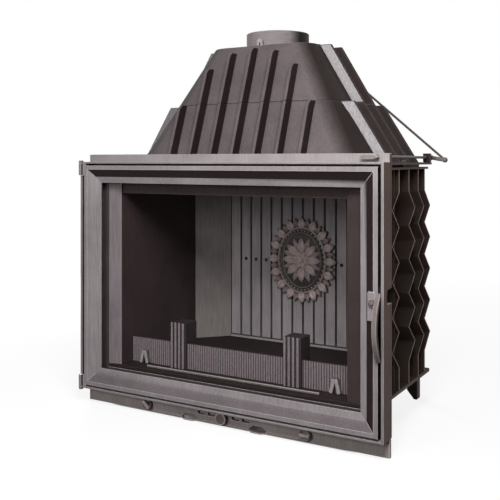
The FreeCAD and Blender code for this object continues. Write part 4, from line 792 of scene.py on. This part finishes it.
@dataclass
class SubAssembly:
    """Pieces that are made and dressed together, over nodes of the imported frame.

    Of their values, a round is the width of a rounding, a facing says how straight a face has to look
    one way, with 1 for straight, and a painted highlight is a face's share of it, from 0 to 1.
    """

    frame: dict[str, Any]
    shelf: MaterialShelf

    def slot_of(self, node: str) -> str:
        """Return the material slot of a node."""
        parts = self.frame["record"]["subparts"]
        return next(part["material_slot"] for part in parts if part["node"] == node)

    def dress(self, piece: bpy.types.Object, node: str) -> None:
        """Let a piece stand for a node: its finish, its body and its slot.

        Args:
            piece: The finished piece.
            node: The node it stands for.
        """
        slot = self.slot_of(node)
        piece.data.materials.clear()
        piece.data.materials.append(self.shelf.take(slot))
        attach(piece, self.frame["nodes"][node]["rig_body"])
        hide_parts(node)
        LOG.info("%s stands for %s in %s", piece.name, node, slot)

    def copy_of(self, node: str) -> bpy.types.Object:
        """Copy a node with its loose triangles merged into whole faces.

        Args:
            node: The node.

        Returns:
            The copy.
        """
        piece = bpy.data.objects.new(f"{node}_eased", self.frame["nodes"][node].data.copy())
        bpy.context.scene.collection.objects.link(piece)
        pick(piece)
        bpy.ops.mesh.customdata_custom_splitnormals_clear()
        with editing(Select.POINTS):
            bpy.ops.mesh.select_all(action="SELECT")
            bpy.ops.mesh.remove_doubles(threshold=MERGE_GAP)
            bpy.ops.mesh.dissolve_limited(angle_limit=math.radians(FLAT_TURN))
        return piece

    def eased(self, node: str, radius: float, segments: int = 2,
              angle: float = SMOOTH_EDGE) -> bpy.types.Object:
        """Stand a copy of a node with rounded edges in its place.

        Args:
            node: The node.
            radius: Rounding of the edges in metres.
            segments: Faces across the rounding.
            angle: Edges flatter than this, in degrees, are shaded smooth.

        Returns:
            The rounded piece.
        """
        piece = self.copy_of(node)
        ease(piece, radius, segments)
        smooth(piece, angle)
        self.dress(piece, node)
        return piece


@dataclass
class FrontShell(SubAssembly):
    """Front plate, rim box round the door, and the base strip."""

    plate_round: float = 1.5 * MM
    rim_round: float = 0.5 * MM
    strip_round: float = 0.9 * MM
    slope_least: float = 0.3
    slope_most: float = 0.95

    def build(self) -> None:
        """Make the pieces, with a painted highlight on the plate's upward sloping edges."""
        plate = self.eased("front_plate", self.plate_round, segments=3)
        mark_worn(plate, lambda centre, normal: float(self.slope_least < normal.z < self.slope_most))
        self.eased("door_surround", self.rim_round, segments=3)
        self.eased("base_apron", self.strip_round)


@dataclass
class FireBody(SubAssembly):
    """Walls, plates and linings of the fire chamber, with its ash gear."""

    cast_round: float = 1.2 * MM
    fin_round: float = 1.2 * MM
    groove_round: float = 1.2 * MM
    sheet_round: float = 0.5 * MM
    side_facing: float = 0.8
    castings: tuple[str, ...] = ("base_plate", "top_plate", "rear_wall", "lintel_plate", "baffle_plate",
                                 "grate", "rear_legs")
    sheets: tuple[str, ...] = ("ash_box", "ash_pan", "tie_bolts")

    def build(self) -> None:
        """Make the pieces."""
        for side in Side:
            self.finned(f"{side.word}_wall")
            self.eased(f"{side.word}_liner", self.cast_round)
            self.eased(f"{side.word}_corner_panel", self.cast_round)
            self.eased(f"{side.word}_reveal", self.cast_round)
        for node in self.castings:
            self.eased(node, self.cast_round)
        self.eased("fireback", self.groove_round, segments=3)
        for node in self.sheets:
            self.eased(node, self.sheet_round)

    def finned(self, node: str) -> None:
        """Round a wall and its zigzag fins, with a painted highlight on only the fins' outer edges.

        Args:
            node: The node.
        """
        low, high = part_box(node)
        reach = max(-low.x, high.x) - self.fin_round
        wall = self.eased(node, self.fin_round)
        mark_worn(wall, lambda centre, normal: float(
            abs(centre.x) > reach and abs(normal.x) > self.side_facing))


@dataclass
class LogGuard(SubAssembly):
    """Reeded bar, reeded posts, lambda feet and the threshold bar."""

    reed_round: float = 0.6 * MM
    reed_depth: float = 1.2 * MM
    post_round: float = 1.5 * MM
    bar_round: float = 1.8 * MM
    foot_x: float = 242 * MM
    foot_spread: float = 9.2 * MM
    foot_lean: float = 13.0
    leg_width: float = 8.4 * MM
    leg_round: float = 2.2 * MM
    leg_lift: float = 0.8 * MM
    leg_facing: float = 0.6
    leg_wear: float = 0.1

    def build(self) -> None:
        """Make the pieces."""
        self.reeded("guard_bar", self.reed_round)
        for side in Side:
            self.reeded(f"{side.word}_guard_post", self.post_round)
        self.feet()
        self.eased("threshold_bar", self.bar_round, segments=3)

    def reeded(self, node: str, radius: float) -> None:
        """Round a reeded piece, with a painted highlight on its reeds and its flutes left dark as painted
        shade.

        Args:
            node: The node.
            radius: Rounding of the edges in metres.
        """
        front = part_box(node)[0].y + self.reed_depth
        piece = self.eased(node, radius, segments=3)
        mark_worn(piece, lambda centre, normal: float(centre.y < front))

    def feet(self) -> None:
        """Model one leg, and lean four of them together as two lambda feet."""
        low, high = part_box("guard_feet")
        leg = added(bpy.ops.mesh.primitive_cube_add, size=1, location=(0, 0, 0.5))
        leg.scale = (self.leg_width, high.y - low.y, high.z - low.z)
        settle(leg)
        ease(leg, self.leg_round, segments=3)
        middle = (low.y + high.y) / 2
        legs = []
        for side in Side:
            for lean in Side:
                across = side.value * self.foot_x + lean.value * self.foot_spread
                turn = lean.value * math.radians(self.foot_lean)
                legs.append(copied(leg, (across, middle, low.z + self.leg_lift), turn, (1, 1, 1)))
        feet = joined("guard_feet_legs", legs)
        bpy.data.objects.remove(leg)
        # Painted highlight on the legs' front faces, and a little on the rest.
        mark_worn(feet, lambda centre, normal: 1.0 if -normal.y > self.leg_facing else self.leg_wear)
        smooth(feet)
        self.dress(feet, "guard_feet")


@dataclass
class Hood(SubAssembly):
    """Ribbed hood castings with the flue collar."""

    hood_round: float = 1.8 * MM
    collar_round: float = 1.2 * MM
    hook_round: float = 0.45 * MM
    hook_facing: float = 0.8
    lower_rib: float = 142 * MM
    upper_rib: float = 200 * MM
    rib_play: float = 2 * MM
    rib_facing: float = 0.97
    left_wear: float = 0.5

    def build(self) -> None:
        """Make the pieces, with a painted highlight on the hook's front faces."""
        self.ribbed("lower_hood", self.lower_rib)
        self.ribbed("upper_hood", self.upper_rib)
        self.eased("flue_collar", self.collar_round, segments=3)
        hook = self.eased("collar_hook", self.hook_round)
        mark_worn(hook, lambda centre, normal: float(-normal.y > self.hook_facing))

    def ribbed(self, node: str, first_rib: float) -> None:
        """Round a hood casting, with a painted highlight on the front faces of its first side ribs.

        Args:
            node: The node.
            first_rib: Front face of its first side ribs.
        """
        piece = self.eased(node, self.hood_round, segments=3)
        mark_worn(piece, lambda centre, normal: self.rib_wear(centre, normal, first_rib))

    def rib_wear(self, centre: Vector, normal: Vector, first_rib: float) -> float:
        """Give the painted highlight of a face of the hood.

        Args:
            centre: Centre of the face.
            normal: Normal of the face.
            first_rib: Front face of the first side ribs.

        Returns:
            The share of painted highlight, fuller on the right than on the left.
        """
        if -normal.y < self.rib_facing or abs(centre.y - first_rib) > self.rib_play:
            return 0.0
        return 1.0 if centre.x > 0 else self.left_wear


@dataclass
class Door(SubAssembly):
    """Door frame with glass, seals, handle, latch and hinge pins."""

    frame_round: float = 0.48 * MM
    frame_smooth: float = 9.0
    rope_round: float = 2.4 * MM
    handle_round: float = 1.6 * MM
    cap_radius: float = 4.4 * MM
    cap_rise: float = 0.7 * MM
    cap_dome: float = 0.45
    cap_sides: int = 40
    small_round: float = 0.4 * MM
    small_nodes: tuple[str, ...] = ("door_glass", "glass_tape", "glass_clips", "glass_screws",
                                    "handle_spindle", "latch_cam", "spindle_nut", "hinge_pins")

    def build(self) -> None:
        """Make the pieces."""
        self.eased("door_frame", self.frame_round, segments=3, angle=self.frame_smooth)
        self.eased("door_rope", self.rope_round, segments=4)
        self.handle()
        for node in self.small_nodes:
            self.eased(node, self.small_round)

    def handle(self) -> None:
        """Round the bow handle and set a domed cap on the end of its spindle."""
        low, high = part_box("handle_spindle")
        place = ((low.x + high.x) / 2, low.y, (low.z + high.z) / 2)
        cap = added(bpy.ops.mesh.primitive_cylinder_add, vertices=self.cap_sides, radius=self.cap_radius,
                    depth=self.cap_rise, location=place, rotation=(math.pi / 2, 0, 0))
        ease(cap, self.cap_rise * self.cap_dome, segments=4)
        bow = self.copy_of("door_handle")
        ease(bow, self.handle_round, segments=4)
        handle = joined("door_handle_bow", [bow, cap])
        smooth(handle)
        self.dress(handle, "door_handle")


@dataclass
class AirControls(SubAssembly):
    """Air knobs, valve discs and the air slide of the base strip."""

    knob_round: float = 1.4 * MM
    small_round: float = 0.4 * MM
    grip_depth: float = 3 * MM
    disc_wear: float = 0.1
    slide_round: float = 2.4 * MM

    def build(self) -> None:
        """Make the pieces."""
        for side in Side:
            self.gripped(f"{side.word}_air_knob")
            self.eased(f"{side.word}_valve_disc", self.small_round)
        self.eased("air_slide_plate", self.small_round)
        self.eased("air_slide_knob", self.slide_round, segments=4)

    def gripped(self, node: str) -> None:
        """Round a knob, with a painted highlight on its grip bar and its disc left dark.

        Args:
            node: The node.
        """
        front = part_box(node)[0].y + self.grip_depth
        knob = self.eased(node, self.knob_round, segments=3)
        mark_worn(knob, lambda centre, normal: 1.0 if centre.y < front else self.disc_wear)


@dataclass
class DamperGear(SubAssembly):
    """Lever, shaft, cranks, link and flap of the flue damper."""

    lever_round: float = 0.9 * MM
    lug_round: float = 1.4 * MM
    bar_round: float = 0.9 * MM
    bars: tuple[str, ...] = ("damper_shaft", "damper_crank", "damper_link", "flap_spindle", "flap_lever",
                             "damper_flap")

    def build(self) -> None:
        """Make the pieces."""
        self.eased("damper_lever", self.lever_round, segments=3)
        self.eased("damper_lug", self.lug_round, segments=3)
        for node in self.bars:
            self.eased(node, self.bar_round)


class Form(Enum):
    """What a ring of the ornament is made of."""

    LEAF = "leaf"
    BEAD = "bead"


@dataclass(frozen=True)
class Ring:
    """Equal forms on an oval that is a share of the whole ornament.

    The size is a form's length, depth and width, and the shift is the ring's start in steps.
    """

    form: Form
    count: int
    share: float
    size: Point
    shift: float = 0.0


@dataclass
class Ornament(SubAssembly):
    """Oval rosette on the fireback: plate, leaf border, bead ring and petals."""

    thickness: float = 6 * MM
    plate_share: float = 0.86
    plate_sides: int = 96
    plate_round: float = 0.6 * MM
    plate_facing: float = 0.9
    # Width and rise of each step of the plate, from its edge inwards.
    plate_steps: tuple[tuple[float, float], ...] = (
        (3 * MM, 1 * MM), (10 * MM, 0), (1.5 * MM, 2.5 * MM), (3 * MM, 0.5 * MM), (1.5 * MM, -2.5 * MM),
        (8 * MM, -1 * MM), (1.2 * MM, 2.2 * MM), (2 * MM, 0), (1.2 * MM, -2.2 * MM))
    # Border leaves, beads, petals and the boss.
    rings: tuple[Ring, ...] = (
        Ring(Form.LEAF, 16, 0.69, (31 * MM, 15 * MM, 26 * MM)),
        Ring(Form.LEAF, 16, 0.73, (25 * MM, 10 * MM, 13 * MM), 0.5),
        Ring(Form.BEAD, 40, 0.66, (3.2 * MM, 4.5 * MM, 3.2 * MM)),
        Ring(Form.LEAF, 8, 0.14, (42 * MM, 15 * MM, 26 * MM)),
        Ring(Form.LEAF, 8, 0.22, (38 * MM, 11 * MM, 16 * MM), 0.5),
        Ring(Form.LEAF, 8, 0.05, (20 * MM, 20 * MM, 15 * MM), 0.5),
        Ring(Form.BEAD, 1, 0.0, (9 * MM, 12 * MM, 9 * MM)))
    dark_depth: float = 1.2 * MM
    relief: float = 4.5 * MM
    stud_round: float = 0.4 * MM
    centre: Vector = field(init=False)
    reach: Vector = field(init=False)
    back: float = field(init=False)

    def build(self) -> None:
        """Make the rosette and let it stand for its node."""
        low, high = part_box("ornament")
        self.centre = Vector(((low.x + high.x) / 2, high.y - self.thickness, (low.z + high.z) / 2))
        self.reach = Vector(((high.x - low.x) / 2, 0, (high.z - low.z) / 2))
        self.back = high.y
        leaf = self.leaf()
        bead = added(bpy.ops.mesh.primitive_ico_sphere_add, subdivisions=2, radius=1)
        patterns = {Form.LEAF: leaf, Form.BEAD: bead}
        pieces = [self.plate()]
        for ring in self.rings:
            pieces += self.set_out(patterns[ring.form], ring)
        rosette = joined("ornament_rosette", pieces)
        for pattern in patterns.values():
            bpy.data.objects.remove(pattern)
        smooth(rosette)
        self.rub(rosette)
        self.dress(rosette, "ornament")
        self.eased("ornament_studs", self.stud_round)

    def rub(self, rosette: bpy.types.Object) -> None:
        """Paint the rosette lighter towards its highest points, as painted highlight, and darker in its
        depths, as painted shade.
        """
        floor = self.centre.y - self.dark_depth
        mark_worn(rosette, lambda centre, normal: min(1.0, max(0.0, (floor - centre.y) / self.relief)))

    def plate(self) -> bpy.types.Object:
        """Model the oval plate with a raised ring between its border and its field.

        Returns:
            The plate.
        """
        plate = added(bpy.ops.mesh.primitive_cylinder_add, vertices=self.plate_sides, radius=1, depth=1,
                      location=(0, 0, 0), rotation=(math.pi / 2, 0, 0))
        plate.scale = (self.reach.x * self.plate_share, self.thickness, self.reach.z * self.plate_share)
        plate.location = (self.centre.x, self.back - self.thickness / 2, self.centre.z)
        settle(plate)
        choose_faces(plate, lambda centre, normal: -normal.y > self.plate_facing)
        with editing(Select.FACES):
            for width, rise in self.plate_steps:
                bpy.ops.mesh.inset(thickness=width, depth=rise)
        ease(plate, self.plate_round, segments=2)
        return plate

    def leaf(self) -> bpy.types.Object:
        """Model one pointed leaf, one unit long along +X, with a pressed vein on its -Y face.

        Returns:
            The leaf.
        """
        shoulder = 0.6
        tip = 0.85
        vein_start = 0.1
        vein_end = 0.9
        vein_half = 0.02
        vein_depth = 0.22
        leaf = added(bpy.ops.mesh.primitive_uv_sphere_add, segments=16, ring_count=10, radius=0.5,
                     location=(0.5, 0, 0), rotation=(0, math.pi / 2, 0))
        self.taper(leaf, shoulder, (1, 1, 0.72))
        self.taper(leaf, tip, (1.2, 0.8, 0.6))
        choose_points(leaf, lambda place: abs(place.z) < vein_half and place.y < 0
                      and vein_start < place.x < vein_end)
        with editing(Select.POINTS):
            bpy.ops.transform.translate(value=(0, vein_depth, 0))
        return leaf

    def taper(self, leaf: bpy.types.Object, start: float, scale: Point) -> None:
        """Scale the end of a leaf.

        Args:
            leaf: The leaf.
            start: Where its end starts along X.
            scale: Scale along X, Y and Z about that place.
        """
        choose_points(leaf, lambda place: place.x > start)
        with editing(Select.POINTS):
            bpy.ops.transform.resize(value=scale, center_override=(start, 0, 0))

    def set_out(self, pattern: bpy.types.Object, ring: Ring) -> list[bpy.types.Object]:
        """Set copies of a pattern on a ring, each pointing outwards.

        Args:
            pattern: The piece to copy.
            ring: The ring.

        Returns:
            The copies.
        """
        copies = []
        for index in range(ring.count):
            angle = 2 * math.pi * (index + ring.shift) / ring.count
            out = Vector((math.cos(angle) * self.reach.x, 0, math.sin(angle) * self.reach.z)) * ring.share
            turn = math.atan2(math.sin(angle) * self.reach.x, math.cos(angle) * self.reach.z)
            copies.append(copied(pattern, tuple(self.centre + out), turn, ring.size))
        return copies


@dataclass(frozen=True)
class Lamp:
    """A square soft lamp: its place, the point it faces, its side in metres and its power in watts."""

    name: str
    place: Point
    aim: Point
    side: float
    power: float

    def hang(self) -> None:
        """Hang the lamp in the scene."""
        turn = (Vector(self.aim) - Vector(self.place)).to_track_quat("-Z", "Y").to_euler()
        bpy.ops.object.light_add(type="AREA", location=self.place, rotation=turn)
        lamp = bpy.context.active_object
        lamp.name = self.name
        lamp.data.size = self.side
        lamp.data.energy = self.power


@dataclass
class Studio:
    """Pale floor, soft light, white surroundings and the camera.

    The camera's turn is in degrees and its lens in millimetres. The shade lies close behind the base strip.
    """

    camera_place: Point = (0.892, -1.420, 0.566)
    camera_turn: float = 30.17
    lens: float = 56.52
    shift_up: float = -0.179
    ambient: float = 0.1
    lamps: tuple[Lamp, ...] = (
        Lamp("key_light", (0.6, -0.76, 1.16), (0.1, 0, 0.4), 0.45, 13.5),
        Lamp("fill_light", (-0.2, -2.05, 0.85), (0.05, 0.1, 0.36), 0.7, 12.0),
        Lamp("back_light", (-1.7, 1.6, 0.45), (0, 0.25, 0.42), 0.8, 38.0))
    floor_reach: float = 2.4
    floor_sides: int = 96
    floor_glow: float = 0.8
    floor_lit: float = 0.3
    floor_dim: float = 0.08
    shade_middle: Point = (0, 0.03, 0)
    shade_reach: Point = (0.31, 0.035, 1)
    shade_edge: float = 0.9

    def build(self) -> None:
        """Make the studio."""
        self.floor()
        for lamp in self.lamps:
            lamp.hang()
        self.world()
        self.camera()
        bpy.context.scene.view_settings.view_transform = "Standard"

    def background_ray(self, tree: bpy.types.NodeTree) -> bpy.types.NodeSocket:
        """Tell rays that show the background from rays that carry light.

        Args:
            tree: Node tree of the floor or the world.

        Returns:
            A value of 1 for camera, glossy and transmission rays, and 0 for the others.
        """
        path = add_node(tree, "LightPath", {})
        total = path["Is Camera Ray"]
        for name in ("Is Glossy Ray", "Is Transmission Ray"):
            total = add_node(tree, "Math", {0: total, 1: path[name]}, operation="ADD", use_clamp=True)[0]
        return total

    def floor(self) -> None:
        """Make a round pale floor that fades to white at its edge and keeps the shadow."""
        floor = added(bpy.ops.mesh.primitive_circle_add, vertices=self.floor_sides, radius=self.floor_reach,
                      fill_type="NGON")
        floor.name = "floor"
        material = bpy.data.materials.new("pale_floor")
        material.use_nodes = True
        tree = material.node_tree
        tree.nodes.clear()
        place = add_node(tree, "TexCoord", {})["Object"]
        inside = add_node(tree, "Mapping", {"Vector": place, "Scale": (1 / self.floor_reach,) * 3})["Vector"]
        fade = add_node(tree, "TexGradient", {"Vector": inside}, gradient_type="SPHERICAL")["Fac"]
        white = add_node(tree, "Emission", {})[0]
        glow = add_node(tree, "Emission", {"Strength": self.open_floor(tree, place)})[0]
        lit = add_node(tree, "BsdfDiffuse", {"Color": grey(self.floor_lit)})[0]
        dim = add_node(tree, "BsdfDiffuse", {"Color": grey(self.floor_dim)})[0]
        both = add_node(tree, "AddShader", {0: glow, 1: lit})[0]
        edge = add_node(tree, "MixShader", {0: fade, 1: white, 2: both})[0]
        view = add_node(tree, "MixShader", {0: self.background_ray(tree), 1: dim, 2: edge})[0]
        add_node(tree, "OutputMaterial", {"Surface": view})
        floor.data.materials.append(material)

    def open_floor(self, tree: bpy.types.NodeTree, place: bpy.types.NodeSocket) -> bpy.types.NodeSocket:
        """Give the glow of the floor, which ends in the shade close behind the base strip.

        Args:
            tree: Node tree of the floor.
            place: Its coordinates.

        Returns:
            The strength of the glow.
        """
        steps = (("SUBTRACT", {1: self.shade_middle}), ("ABSOLUTE", {}), ("DIVIDE", {1: self.shade_reach}))
        for operation, inputs in steps:
            place = add_node(tree, "VectorMath", {0: place, **inputs}, operation=operation)["Vector"]
        parts = add_node(tree, "SeparateXYZ", {"Vector": place})
        most = add_node(tree, "Math", {0: parts["X"], 1: parts["Y"]}, operation="MAXIMUM")[0]
        ends = {"From Min": self.shade_edge, "To Max": self.floor_glow}
        return add_node(tree, "MapRange", {"Value": most, **ends})["Result"]

    def world(self) -> None:
        """Surround the object with white that lights it only softly."""
        world = bpy.data.worlds.new("white_room")
        bpy.context.scene.world = world
        world.use_nodes = True
        tree = world.node_tree
        tree.nodes.clear()
        soft = add_node(tree, "Background", {"Color": grey(self.ambient)})[0]
        white = add_node(tree, "Background", {"Color": grey(1)})[0]
        mix = add_node(tree, "MixShader", {0: self.background_ray(tree), 1: soft, 2: white})[0]
        add_node(tree, "OutputWorld", {"Surface": mix})

    def camera(self) -> None:
        """Set the camera at the photograph's viewing angle."""
        turn = (math.pi / 2, 0, math.radians(self.camera_turn))
        bpy.ops.object.camera_add(location=self.camera_place, rotation=turn)
        camera = bpy.context.active_object
        camera.data.lens = self.lens
        camera.data.shift_y = self.shift_up
        bpy.context.scene.camera = camera


def main() -> None:
    """Load the frame, dress each sub-assembly and set the studio."""
    logging.basicConfig(level=logging.INFO, format="%(message)s")
    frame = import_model()
    shelf = MaterialShelf()
    for group in (FrontShell, FireBody, LogGuard, Hood, Door, AirControls, DamperGear, Ornament):
        group(frame, shelf).build()
        LOG.info("%s is done", group.__name__)
    Studio().build()


if __name__ == "__main__":
    main()
